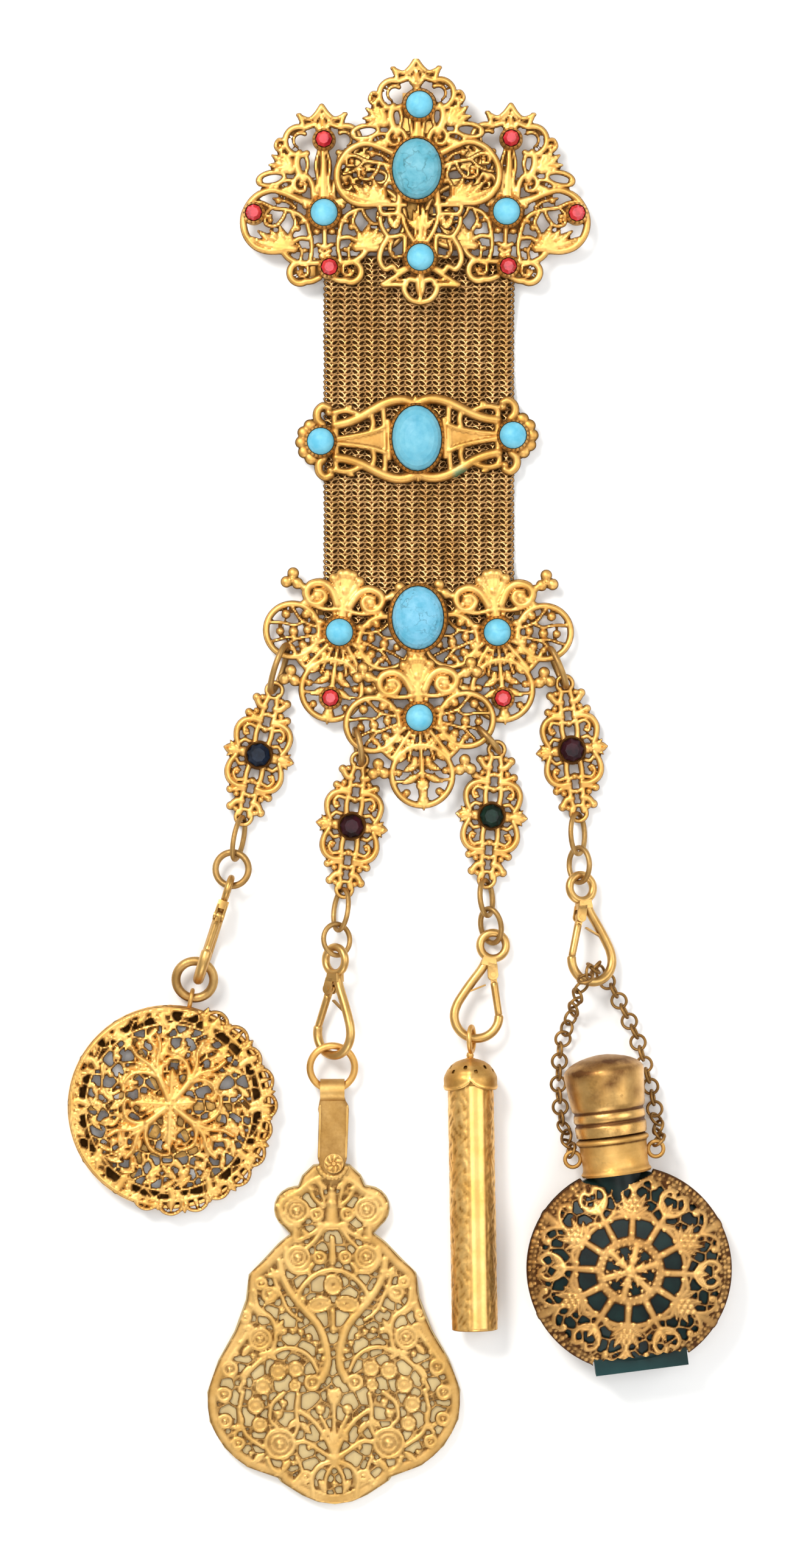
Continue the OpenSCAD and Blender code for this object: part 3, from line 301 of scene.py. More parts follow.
def lattice(rows, cols, closed=False):
    """Quads over rows x cols vertices, closed round each row and where asked from last row to first."""
    faces = []
    for i in range(rows if closed else rows - 1):
        for j in range(cols):
            a, b = i * cols + j, i * cols + (j + 1) % cols
            up = ((i + 1) % rows - i) * cols
            faces.append((a, b, b + up, a + up))
    return faces


def smooth_line(points, steps=4, closed=False):
    """A soft curve through the points."""
    p = np.asarray(points, float)
    if len(p) < 3:
        return p
    if closed:
        p = np.vstack([p[-1:], p, p[:2]])
    else:
        p = np.vstack([2 * p[0] - p[1], p, 2 * p[-1] - p[-2]])
    t = np.linspace(0, 1, steps, endpoint=False)[:, None]
    out = []
    for a, b, c, d in zip(p[:-3], p[1:-2], p[2:-1], p[3:]):
        out.append(0.5 * (2 * b + (c - a) * t + (2 * a - 5 * b + 4 * c - d) * t ** 2
                          + (3 * b - a - 3 * c + d) * t ** 3))
    if not closed:
        out.append(p[-2:-1])
    return np.vstack(out)


def tube(points, radii, sides=12, closed=False, phase=0.0):
    """A round wire along points in space, with rounded ends where it is open."""
    p = np.asarray(points, float)
    r = np.broadcast_to(np.asarray(radii, float), (len(p),)).copy()
    if closed:
        way = np.roll(p, -1, 0) - np.roll(p, 1, 0)
    else:
        ahead, back = p[0] - p[1], p[-1] - p[-2]
        ahead, back = ahead / np.linalg.norm(ahead), back / np.linalg.norm(back)
        p = np.vstack([p[0] + ahead * r[0] * 0.6, p[0] + ahead * r[0] * 0.42, p,
                       p[-1] + back * r[-1] * 0.42, p[-1] + back * r[-1] * 0.6])
        r = np.concatenate([[r[0] * 0.25, r[0] * 0.75], r, [r[-1] * 0.75, r[-1] * 0.25]])
        way = np.gradient(p, axis=0)
    way /= np.linalg.norm(way, axis=1)[:, None]
    side = np.cross(way, (0.0, 0.0, 1.0))
    side /= np.linalg.norm(side, axis=1)[:, None]
    over = np.cross(side, way)
    a = np.linspace(0, 2 * math.pi, sides, endpoint=False) + phase
    ring = side[:, None, :] * np.cos(a)[None, :, None] + over[:, None, :] * np.sin(a)[None, :, None]
    verts = (p[:, None, :] + ring * r[:, None, None]).reshape(-1, 3)
    faces = [f[::-1] for f in lattice(len(p), sides, closed)]
    if not closed:
        faces.append(tuple(range(sides)))
        faces.append(tuple(range(len(p) * sides - 1, (len(p) - 1) * sides - 1, -1)))
    return verts, faces


def turned(profile, sides=48, centre=(0, 0, 0)):
    """A profile of radius and height turned about Z, closed where its ends meet the axis."""
    profile = np.asarray(profile, float)
    a = np.linspace(0, 2 * math.pi, sides, endpoint=False)
    r, z = profile[:, :1], np.repeat(profile[:, 1:], sides, 1)
    verts = np.stack([r * np.cos(a), r * np.sin(a), z], 2).reshape(-1, 3)
    return verts + np.asarray(centre, float), lattice(len(profile), sides)


def put(points, spot, flip=1, up=1):
    """Local flat points at a spot's x, y and turn; flip and up of -1 mirror them first."""
    p = np.atleast_2d(np.asarray(points, float)) * [flip, up]
    a = math.radians(spot[2])
    c, s = math.cos(a), math.sin(a)
    return p @ np.array([[c, s], [-s, c]]) + np.array(spot[:2])


def compass(degrees):
    """The direction at an angle, and the one a quarter turn on from it."""
    a = math.radians(degrees)
    c, s = math.cos(a), math.sin(a)
    return np.array([c, s]), np.array([-s, c])


def outward(spot, angle, out=0.0):
    """A spot moved out at an angle and turned to it, so that its x runs outward."""
    way = compass(spot[2] + angle)[0]
    return spot[0] + way[0] * out, spot[1] + way[1] * out, spot[2] + angle


def arc(c, r, a0, a1, n=10):
    a = np.radians(np.linspace(a0, a1, n + 1))
    return np.stack([c[0] + r * np.cos(a), c[1] + r * np.sin(a)], 1).tolist()


def oval(c, a, b, turn=0, n=20):
    t = np.linspace(0, 2 * math.pi, n, endpoint=False)
    return put(np.stack([a * np.cos(t), b * np.sin(t)], 1), (c[0], c[1], turn))


def spin(axis, degrees):
    """The matrix of a turn about an axis, for column vectors."""
    a = math.radians(degrees)
    c, s = math.cos(a), math.sin(a)
    return {"x": np.array([[1, 0, 0], [0, c, -s], [0, s, c]]),
            "y": np.array([[c, 0, s], [0, 1, 0], [-s, 0, c]]),
            "z": np.array([[c, -s, 0], [s, c, 0], [0, 0, 1]])}[axis]


class Stamping:
    """A pressed sheet over a fine grid: how far each point is from metal, and how high it stands."""

    def __init__(self, box, step=GRID, edge=EDGE, full=1.3):
        self.step = step
        self.edge = edge
        self.full = full
        self.x = np.arange(box[0], box[1] + step, step)
        self.y = np.arange(box[2], box[3] + step, step)
        self.X, self.Y = np.meshgrid(self.x, self.y)
        self.S = np.full(self.X.shape, 9.0)
        self.Z = np.full(self.X.shape, edge)
        self.at((0, 0, 0))

    def at(self, spot, flip=1, up=1):
        """Give what follows in a spot's own x and y, mirrored where flip or up is negative."""
        self.spot, self.mirror = spot, (flip, up)
        return self

    def window(self, p, margin):
        m = margin + 4 * self.step
        i0, i1 = np.searchsorted(self.x, [p[:, 0].min() - m, p[:, 0].max() + m])
        j0, j1 = np.searchsorted(self.y, [p[:, 1].min() - m, p[:, 1].max() + m])
        return slice(j0, j1), slice(i0, i1)

    def press(self, w, s, ratio, rise, kind):
        """Add a form: s is the distance to its edge, ratio 0 at its middle and 1 there."""
        self.S[w] = np.minimum(self.S[w], s)
        k = np.clip(ratio, 0, 1)
        if kind == "gutter":
            shape = 0.45 + 0.55 * np.exp(-((k - 0.72) / 0.22) ** 2)
        elif kind == "flat":
            shape = np.minimum(1, 3.0 * (1 - k))
        elif kind == "vein":
            shape = (1 - k ** 2.8) * (0.6 + 0.4 * np.minimum(1, k / 0.25))
        else:
            shape = 1 - k ** 2.8
        height = np.where(s < 0, self.edge + rise * shape, self.edge)
        self.Z[w] = np.maximum(self.Z[w], height)

    def band(self, points, w, w_end=None, rise=0.6, kind="round", soft=True, closed=False, belly=0.0):
        """A strip along points, from one width to another; belly widens its middle."""
        p = np.asarray(points, float)
        if soft:
            p = smooth_line(p, 4, closed)
        p = put(p, self.spot, *self.mirror)
        if closed:
            p = np.vstack([p, p[:1]])
        share = np.linspace(0, 1, len(p))
        width = (w + ((w if w_end is None else w_end) - w) * share) * (1 + belly * np.sin(math.pi * share))
        half = width / 2 * (1 if kind == "flat" else self.full)
        win = self.window(p, half.max())
        X, Y = self.X[win], self.Y[win]
        best = np.full(X.shape, 9.0)
        ratio = np.full(X.shape, 9.0)
        for a, b, ha, hb in zip(p[:-1], p[1:], half[:-1], half[1:]):
            d = b - a
            t = np.clip(((X - a[0]) * d[0] + (Y - a[1]) * d[1]) / max(d @ d, 1e-9), 0, 1)
            e = np.hypot(X - a[0] - t * d[0], Y - a[1] - t * d[1])
            h = ha + (hb - ha) * t
            nearer = e - h < best
            best = np.where(nearer, e - h, best)
            ratio = np.where(nearer, e / np.maximum(h, 0.05), ratio)
        self.press(win, best, ratio, rise, kind)

    def bead(self, c, r, rise=0.7, kind="round"):
        c = put([c], self.spot, *self.mirror)
        win = self.window(c, r)
        e = np.hypot(self.X[win] - c[0, 0], self.Y[win] - c[0, 1])
        self.press(win, e - r, e / r, rise, kind)

    def seat(self, c, r):
        """The flat ground under a stone."""
        self.bead(c, r, 0.3, "flat")

    def hoop(self, c, r, w, rise=0.6, kind="round"):
        """A ring of wire."""
        w = w * self.full
        c = put([c], self.spot, *self.mirror)
        win = self.window(c, r + w)
        e = np.abs(np.hypot(self.X[win] - c[0, 0], self.Y[win] - c[0, 1]) - r)
        self.press(win, e - w / 2, e / (w / 2), rise, kind)

    def lace(self, inner, outer, pitch, w, rise, seed):
        """A net of fine wire round small irregular holes, between two radii about the spot."""
        rng = np.random.default_rng(seed)
        mid = np.array(self.spot[:2], float)
        u, v = self.X - mid[0], self.Y - mid[1]
        near = np.full(self.X.shape, 1e3)
        far = near.copy()
        reach = int(outer / pitch) + 2
        for row in range(-reach, reach + 1):
            for column in range(-reach, reach + 1):
                x = (column + 0.5 * (row % 2)) * pitch + rng.uniform(-0.3, 0.3) * pitch
                y = row * pitch * 0.87 + rng.uniform(-0.3, 0.3) * pitch
                if math.hypot(x, y) < outer + pitch:
                    d = np.hypot(u - x, v - y)
                    far = np.minimum(far, np.maximum(near, d))
                    near = np.minimum(near, d)
        wall = (far - near) / 2
        r = np.hypot(u, v)
        s = np.maximum(wall - w / 2, np.maximum(inner - r, r - outer))
        self.press((slice(None), slice(None)), s, wall / (w / 2), rise, "round")

    def leaf(self, root, tip, w, rise=0.7, bend=0.0):
        """A pointed leaf with a sunk vein, widest at its middle."""
        a, b = np.asarray(root, float), np.asarray(tip, float)
        d = b - a
        n = np.array([-d[1], d[0]])
        points = [a, a + 0.5 * d + bend * n, b]
        self.band(points, w * 0.45, w * 0.2, rise, "vein", belly=1.6)

    def distance(self, polygon):
        """Signed distance to a closed polygon, negative inside."""
        p = np.asarray(polygon, float)
        q = np.roll(p, -1, 0)
        best = np.full(self.X.shape, 1e9)
        inside = np.zeros(self.X.shape, bool)
        for a, b in zip(p, q):
            d = b - a
            t = np.clip(((self.X - a[0]) * d[0] + (self.Y - a[1]) * d[1]) / max(d @ d, 1e-9), 0, 1)
            best = np.minimum(best, np.hypot(self.X - a[0] - t * d[0], self.Y - a[1] - t * d[1]))
            if a[1] != b[1]:
                crosses = (self.Y >= min(a[1], b[1])) & (self.Y < max(a[1], b[1]))
                inside ^= crosses & (self.X < a[0] + (self.Y - a[1]) * d[0] / d[1])
        return np.where(inside, -best, best)

    def mesh(self, shell, z0, dome=None, thick=None, span=0.42, tone=0.0):
        """The sheet as a closed solid, its edge vertices moved onto the outline.

        It stands on z0, or on the height that dome gives over it, and is at least thick where that is
        given. It darkens over span below its full height with patina and painted shade, and everywhere by
        tone.
        """
        inside = self.S < 0
        cells = inside[:-1, :-1] | inside[1:, :-1] | inside[:-1, 1:] | inside[1:, 1:]
        used = np.zeros(inside.shape, bool)
        for dj, di in ((0, 0), (1, 0), (0, 1), (1, 1)):
            used[dj:dj + cells.shape[0], di:di + cells.shape[1]] |= cells
        gy, gx = np.gradient(self.S, self.step)
        g2 = np.maximum(gx ** 2 + gy ** 2, 0.2)
        move = np.where(inside, 0, np.clip(self.S, 0, 1.3 * self.step)) / g2
        x = self.X - move * gx
        y = self.Y - move * gy
        number = -np.ones(inside.shape, int)
        number[used] = np.arange(used.sum())
        base = np.zeros(x.shape) if dome is None else dome(x, y)
        top = np.stack([x[used], y[used], (z0 + base + self.Z)[used]], 1)
        under = np.stack([x[used], y[used], (z0 + base)[used]], 1)
        if thick is not None:
            under[:, 2] = np.minimum(under[:, 2], top[:, 2] - thick)
        j, i = np.nonzero(cells)
        quads = np.stack([number[j, i], number[j, i + 1], number[j + 1, i + 1], number[j + 1, i]], 1)
        count = len(top)
        edges = np.concatenate([quads[:, [k, (k + 1) % 4]] for k in range(4)])
        key = edges[:, 0] * (count + 1) + edges[:, 1]
        back = edges[:, 1] * (count + 1) + edges[:, 0]
        rim = edges[~np.isin(key, back)]
        walls = np.stack([rim[:, 1], rim[:, 0], rim[:, 0] + count, rim[:, 1] + count], 1)
        height = self.Z[used]
        # low parts of the relief and the underside are browned with patina and painted shade
        low_patina_and_shade = np.clip(1.0 - (height - self.edge) / span, 0, 1) + tone
        shell.add(np.vstack([top, under]), np.vstack([quads, quads[:, ::-1] + count, walls]).tolist(),
                  np.concatenate([low_patina_and_shade, np.full(count, 0.5)]))


def collet(shell, c, size, z, top, lean=0.35, wall=0.62, age=0.0):
    """A setting's wall with a serrated lip that closes over the edge of its stone."""
    a, b, teeth = size
    z0, z1 = z + 0.05, z + top
    t = np.linspace(0, 2 * math.pi, teeth * 4, endpoint=False)
    cx, cy, same = np.cos(t), np.sin(t), 0 * t
    tooth = np.tile([0.0, 0.75, 1.0, 0.75], teeth)
    gap = 1 - tooth
    # distance out from the stone's edge, height and darkness of each ring of vertices; the darkness, in the
    # gaps between teeth, inside and at the foot, is patina and painted shade
    rings = [(wall + 0.12, z0, 0.5), (wall + 0.12, z0 + 0.25, 0.4), (wall, z0 + 0.5, 0.3),
             (wall, z1 - 0.9, 0.25),
             (wall - 0.1 - 0.16 * gap, z1 - 0.45 + 0.12 * tooth, 0.8 * gap),
             (wall - lean - 0.1 * tooth, z1 - 0.25 + 0.5 * tooth, 0.5 * gap),
             (0.10 + 0.04 * tooth, z1 - 0.1 + 0.42 * tooth, 0.6 * gap), (0.12, z1 - 0.75, 0.9)]
    rows = [np.stack([(a + out) * cx, (b + out) * cy, same + level], 1) for out, level, dark in rings]
    rows += [np.stack([0.2 * cx, 0.2 * cy, same + level], 1) for level in (z1 - 0.85, z0 + 0.05)]
    verts = np.concatenate(rows)
    dark = np.concatenate([same + dark for out, level, dark in rings] + [same + 0.9] * 2)
    shell.add(np.column_stack([put(verts[:, :2], c), verts[:, 2]]), lattice(len(rows), len(t), True),
              np.clip(dark + age, 0, 1))


def box(shell, x, y, z, spot):
    """A plain bar with its edges eased, turned with its spot."""
    e = 0.12
    rows = []
    for inset, level in ((e, z[0]), (0, z[0] + e), (0, z[1] - e), (e, z[1])):
        x0, x1, y0, y1 = x[0] + inset, x[1] - inset, y[0] + inset, y[1] - inset
        corners = [(x0 + e, y0), (x1 - e, y0), (x1, y0 + e), (x1, y1 - e),
                   (x1 - e, y1), (x0 + e, y1), (x0, y1 - e), (x0, y0 + e)]
        rows.append(np.column_stack([put(corners, spot), np.full(8, level)]))
    faces = lattice(4, 8) + [tuple(range(7, -1, -1)), tuple(range(24, 32))]
    shell.add(np.concatenate(rows), faces, 0.2)


def staple(shell, x0, x1, y0, y1, z, top, spot=(0, 0, 0)):
    """The bar behind a plaque and the two posts that carry it."""
    box(shell, (x0, x1), (y0, y1), (z, z + 0.6), spot)
    for x in (x0, x1 - POST):
        box(shell, (x, x + POST), (y0, y1), (z + 0.5, top), spot)


# Top plaque
def fan_reds(side):
    """x, y and the radius of the ground of a side fan's red stones."""
    return (0.3, 14.4, 2.3), (0.8, -10.7, 2.3), (side * 13.8, 0.3, 2.2)


def fan_top(s):
    """The upper left of a fan: scrolls, leaves and the volute beside its stone."""
    s.band([[0, 21], [-1.2, 19.4], [-2.6, 18.5], [-4.7, 19.4]], 0.9, 0.6)
    s.band([[-0.3, 19.6], [-1.6, 18.0], [-3.2, 17.4]], 0.6, 0.5, 0.4)
    s.band([[-4.4, 19.3], [-3.8, 17.8], [-3.6, 16.8], [-1.2, 17.6]], 0.8)
    s.band(arc((-4.5, 14.3), 2.8, 70, 300, 10), 0.95)
    s.band(arc((-4.2, 14.4), 1.5, 60, 240, 8), 0.7, 0.4, 0.45)
    s.band([[-7.4, 14.4], [-8.6, 14.6], [-9.2, 13.4], [-8.4, 12.4], [-7.7, 13.2]], 0.6, 0.7)
    s.bead((-8.3, 13.4), 0.5, 0.75)
    s.band([[-8.2, 12.6], [-7.9, 11.4], [-5.6, 11.6]], 0.8, 0.6)
    for tip in ([-9.9, 11.6], [-10.5, 9.7], [-9.6, 8.4], [-7.6, 11.9], [-6.7, 8.2]):
        s.leaf((-6.4, 9.2), tip, 1.9)
    s.band([[-4.6, 12.0], [-5.2, 10.2], [-4.9, 8.4], [-4.0, 6.8]], 1.1, 1.4)
    s.band([[-3.4, 11.6], [-3.0, 9.6], [-3.6, 7.4]], 0.8, 0.6, 0.5)
    s.band([[-2.0, 3.2], [-2.2, 5.6], [-3.2, 7.3], [-4.9, 7.4], [-5.8, 6.0], [-5.2, 4.6], [-3.9, 4.5],
            [-3.5, 5.6]], 0.95, 0.7)
    s.bead((-4.4, 5.8), 0.55, 0.8)
    s.band(oval((-10.2, 7.0), 2.6, 1.25, 10), 0.8, closed=True)
    s.band(oval((-7.6, 5.6), 1.7, 0.9, 20), 0.7, closed=True)
    s.bead((-6.3, 4.6), 0.8)
    s.bead((-12.4, 6.6), 0.55)
    s.leaf((-5.6, 5.2), (-9.2, 4.2), 1.5)


def fan_middle(s):
    """The stem and the leaves on a fan's middle line."""
    s.band([[0, 12.6], [0.1, 9.6], [0, 6.4], [0, 2.8]], 0.7, 1.8)
    for side in (-1, 1):
        s.band([[side * 0.8, 12.2], [side * 1.4, 9.4], [side * 1.0, 6.0], [side * 1.6, 3.0]], 0.55, 0.8, 0.45)
    s.leaf((0, 15.0), (0, 19.4), 1.7)
    for side in (-1, 1):
        s.leaf((0, 15.8), (side * 1.9, 18.1), 1.2)
    s.bead((0, 16.2), 0.8, 0.9)


def fan_lobe(s):
    """The round lobe at the left of a fan."""
    ring = [[-4.6, 2.6], [-7.4, 4.0], [-10.4, 4.8], [-13.4, 3.5], [-15.3, 1.0], [-15.9, -1.6],
            [-15.3, -4.2], [-13.6, -6.2], [-11.2, -7.1], [-8.4, -7.1]]
    s.band(ring, 1.05, 1.15, 0.75)
    for root, tip, w in (((-7.2, -6.0), (-15.2, -4.1), 1.6), ((-7.6, -5.8), (-13.0, -3.2), 2.0),
                         ((-7.6, -5.6), (-10.6, -3.2), 2.0), ((-7.2, -5.4), (-8.8, -2.2), 1.7),
                         ((-6.8, -6.0), (-6.6, -3.7), 1.6)):
        s.leaf(root, tip, w, 0.85, 0.1)
    s.band([[-6.2, -6.8], [-9.0, -6.6], [-12.4, -5.6]], 1.5, 0.8, 0.8)
    s.band([[-3.2, -2.2], [-4.7, -0.3], [-7.2, 0.8], [-10, 1.3], [-12.4, 2.4], [-13.9, 2.0],
            [-13.9, 0.6], [-12.7, 0.5]], 0.85, 0.6)
    s.bead((-12.9, 1.3), 0.55, 0.9)
    s.band([[-7.4, 0.8], [-8.2, -0.9], [-9.7, -2.3], [-11.4, -1.9], [-11.6, -0.6], [-10.5, -0.2]], 0.7, 0.6)
    s.bead((-10.6, -1.1), 0.6, 0.9)
    s.band([[-10.2, 1.4], [-12.6, -0.6], [-14.6, -1.2]], 0.6, 0.5, 0.5)
    s.bead((-8.9, 2.7), 0.75, 0.85)
    s.band([[-2.0, 1.6], [-3.8, 2.4], [-5.6, 3.2]], 1.7, 1.1)
    s.band([[-5.6, 1.2], [-7.2, 2.4], [-9.8, 3.1]], 0.6, 0.5, 0.5)
    s.band([[-6.6, -3.8], [-5.6, -1.8], [-6.4, 0.2]], 0.8, 0.6)
    s.bead((-5.3, -2.8), 0.7, 0.9)
    s.bead((-4.4, -1.7), 0.5, 0.8)


def fan_foot(s):
    """The lower left of a side fan, about its lowest stone."""
    s.band([[-8.6, -6.9], [-7.2, -8.6], [-5.6, -9.6]], 1.0)
    s.band([[-3.1, -9.6], [-2.6, -7.2], [-2.7, -5.0], [-3.3, -2.2]], 0.8)
    s.band([[-6.9, -6.0], [-4.9, -4.8], [-2.8, -5.0]], 0.8)
    s.band([[-4.8, -9.2], [-4.6, -7.4], [-5.2, -6.0]], 0.6, 0.5, 0.5)
    s.bead((-4.0, -7.2), 0.55, 0.8)
    s.band([[-1.2, -9.7], [-3.4, -9.7], [-5.6, -9.5]], 0.9)
    s.band(arc((-5.0, -11.6), 2.0, 110, 300, 10), 1.1)
    s.band([[-4.0, -13.3], [-2.6, -13.2], [-1.2, -12.6]], 1.1, 0.9)
    s.band([[-5.0, -9.9], [-3.6, -10.4], [-3.5, -11.8], [-4.8, -12.3], [-5.5, -11.4]], 0.7, 0.6)
    s.bead((-4.8, -11.4), 0.6, 0.9)


def fan(s, spot, side=0):
    """One fan of the top plaque; side is -1 or 1 where it hangs at that side."""
    for flip in (1, -1):
        s.at(spot, flip)
        fan_top(s)
        fan_lobe(s)
        if side:
            fan_foot(s)
    s.at(spot)
    fan_middle(s)
    if side:
        s.band([[0, -2.4], [0, -6.4]], 0.8)
        for y, w in ((-6.2, 1.3), (-7.4, 1.0), (-8.4, 0.8)):
            s.band([[-w, y], [0, y - 0.7], [w, y]], 0.8, soft=False)
        for x, y, r in fan_reds(side):
            s.seat((x, y), r)
    s.seat((0, 0), 3.6)
    for a in range(0, 360, 45):
        s.bead(compass(a + 22)[0] * 3.9, 0.7, 0.8)


def strapwork(s):
    """The strapwork and small leaves about the middle fan's lower stone."""
    for flip in (1, -1):
        s.at(STRAPWORK, flip)
        s.band([[-3.0, 10.4], [-5.4, 10.5], [-7.8, 10.4], [-7.9, 9.4], [-7.2, 8.6], [-5.2, 8.7], [-3.6, 8.4],
                [-3.2, 6.8], [-2.4, 5.0], [-1.3, 3.2]], 0.85, 0.8)
        s.band([[-7.9, 7.8], [-7.6, 6.2], [-6.4, 4.3], [-5.0, 4.2], [-3.2, 4.3], [-3.0, 1.0]], 0.85)
        s.band([[-6.4, 4.0], [-7.6, 1.9], [-8.0, -0.4], [-6.9, -2.2], [-5.4, -1.6], [-4.6, -2.6],
                [-3.0, -2.0]], 1.0, 0.9)
        s.band([[-5.6, 3.2], [-6.0, 1.6], [-5.2, 0.2], [-3.6, 0.4]], 0.8, 0.6)
        s.bead((-5.5, 0.9), 0.5, 0.9)
        s.band([[-2.6, -2.2], [-4.8, -3.6], [-7.4, -5.2]], 0.9)
        s.band([[-7.2, -5.3], [-5.0, -5.2], [-2.8, -5.3]], 0.9)
        s.band([[-5.0, -3.9], [-4.2, -4.4], [-3.0, -4.3]], 0.6, 0.5, 0.5)
        for tip in ((-1.4, 9.4), (-2.7, 7.8), (-0.4, 10.6)):
            s.leaf((-0.8, 5.6), tip, 1.1)
        s.leaf((-5.2, 6.0), (-6.4, 8.4), 1.3)
        s.leaf((-4.8, 6.0), (-4.2, 8.4), 1.3)
        s.band([[-0.9, -4.4], [-2.2, -4.2], [-3.2, -5.6], [-2.9, -7.0], [-1.8, -8.2], [0, -8.7]], 1.0)
        s.band([[-0.4, 3.0], [-1.0, 5.0], [-0.9, 7.0]], 0.7, 0.5)
    s.at(STRAPWORK)
    s.leaf((0, -3.2), (0, -8.4), 2.0)
    s.band([[0, 2.8], [0, 7.8]], 1.0)
    s.seat((0, 0), 3.6)


plaque = Stamping((-33, 40, 96, 135))
for spot, side in SIDE_FANS:
    fan(plaque, spot, side)
brooch = Shell()
plaque.mesh(brooch, BROOCH_Z)
for spot, side in SIDE_FANS:
    collet(brooch, spot, BLUE_SETTING, BROOCH_Z, 2.6)
    for c in fan_reds(side):
        x, y = put(c[:2], spot)[0]
        collet(brooch, (x, y, 0), RED_SETTING, BROOCH_Z, 2.3)
staple(brooch, -17.6, 24.8, 99.4, 103.2, 1.5, BROOCH_Z + 0.2)
brooch.make("brooch_plate_relief", GOLD, replaces="brooch_plate")

plaque = Stamping((-14, 22, 92, 143))
fan(plaque, FANS[2])
plaque.at(FANS[2])
for side in (-1, 1):
    plaque.band([[side * 3.0, -2.0], [side * 3.6, -5.2], [side * 4.0, -9.0]], 1.1)
strapwork(plaque)
plaque.at(BIG_BROOCH)
plaque.band(oval((0, 0), 2.8, 3.6), 6.0, rise=0.2, kind="flat", closed=True)
plaque.at(TOP_BLUE)
plaque.seat((0, 0), 3.5)
# the top edge of the CAD's overlay
plaque.S = np.maximum(plaque.S, plaque.Y - 142.0)
over = Shell()
plaque.mesh(over, BROOCH_TOP_Z)
collet(over, BIG_BROOCH, (4.8, 5.95, 38), BROOCH_TOP_Z, 2.6)
collet(over, TOP_BLUE, BLUE_SETTING, BROOCH_TOP_Z, 2.5)
collet(over, STRAPWORK, BLUE_SETTING, BROOCH_TOP_Z, 2.5)
over.make("brooch_overlay_relief", GOLD, replaces="brooch_overlay")


# Slider
def slider_side(s, flip):
    """One end of the slider."""
    for up in (1, -1):
        s.at(SLIDER, flip, up)
        s.band([[0.0, 6.7], [-1.7, 7.5], [-3.8, 7.7], [-6.2, 7.1], [-8.6, 5.9], [-11, 4.6], [-13.4, 3.7],
                [-15.9, 3.2]], 1.55, 1.4, 0.9)
        s.band([[-18.6, 3.4], [-19.4, 4.4], [-19.3, 6.0], [-18.2, 7.0], [-17.1, 6.6]], 1.3, 1.1, 0.8)
        s.bead((-17.1, 5.7), 0.85, 0.9)
        s.band([[-16.0, 5.6], [-14.2, 6.0], [-12.4, 5.7], [-10.6, 4.9]], 1.0, 0.8, 0.7)
        s.leaf((-13.9, 5.9), (-12.6, 6.9), 1.3)
        s.band([[-15.9, 3.2], [-16.1, 4.6], [-15.6, 5.6]], 0.9, 0.9, 0.6)
        s.band([[-8.9, 1.6], [-8.5, 3.4], [-9.0, 5.4]], 0.95, 0.9, 0.7)
        s.band([[-15.9, 0.45], [-12.0, 0.95], [-8.4, 1.7], [-6.2, 2.6]], 0.9, 0.9, 0.75)
    s.at(SLIDER, flip)
    s.band([[-15.6, 0], [-10, 0], [-5.2, 0]], 1.0, 4.6, 0.35)
    s.band([[-6.5, -6.9], [-6.3, -3], [-6.3, 3], [-6.5, 6.9]], 0.9, 0.9, 0.6)
    s.band([[-5.5, -3.6], [-5.4, 0], [-5.5, 3.6]], 0.9, 0.9, 0.6)
    s.band([[-16.0, -3.3], [-16.0, 3.3]], 1.1)
    for a in (122, 150, 180, 210, 238):
        s.bead(compass(a)[0] * 3.8 - [SLIDER_END, 0], 1.25, 0.6)
    s.seat((-SLIDER_END, 0), 3.5)


plate = Stamping((-24, 32, 56, 79), full=1.42)
for flip in (1, -1):
    slider_side(plate, flip)
plate.at(SLIDER)
plate.band([[0, 6.6], [0, 8.1]], 1.1, 0.7, 0.8)
plate.band([[0, -6.6], [0, -8.1]], 1.1, 0.7, 0.8)
plate.band(oval((0, 0), 2.8, 4.0), 6.0, rise=0.2, kind="flat", closed=True)
slide = Shell()
plate.mesh(slide, SLIDER_Z)
collet(slide, SLIDER, (4.85, 6.4, 40), SLIDER_Z, 2.6)
for end in (-SLIDER_END, SLIDER_END):
    x, y = put([(end, 0)], SLIDER)[0]
    collet(slide, (x, y, 0), BLUE_SETTING, SLIDER_Z, 2.4)
staple(slide, -21.6, 22.0, -2.5, 2.5, 0, SLIDER_Z + 0.2, SLIDER)
slide.make("slider_relief", SLIDER_GOLD, replaces="slider")


# Lower plaque
def clover(s, c):
    """Three beads about a fourth."""
    for a in (90, 210, 330):
        s.bead(c + compass(a)[0] * 1.25, 1.15, 0.75)
    s.bead(c, 0.7, 0.9)


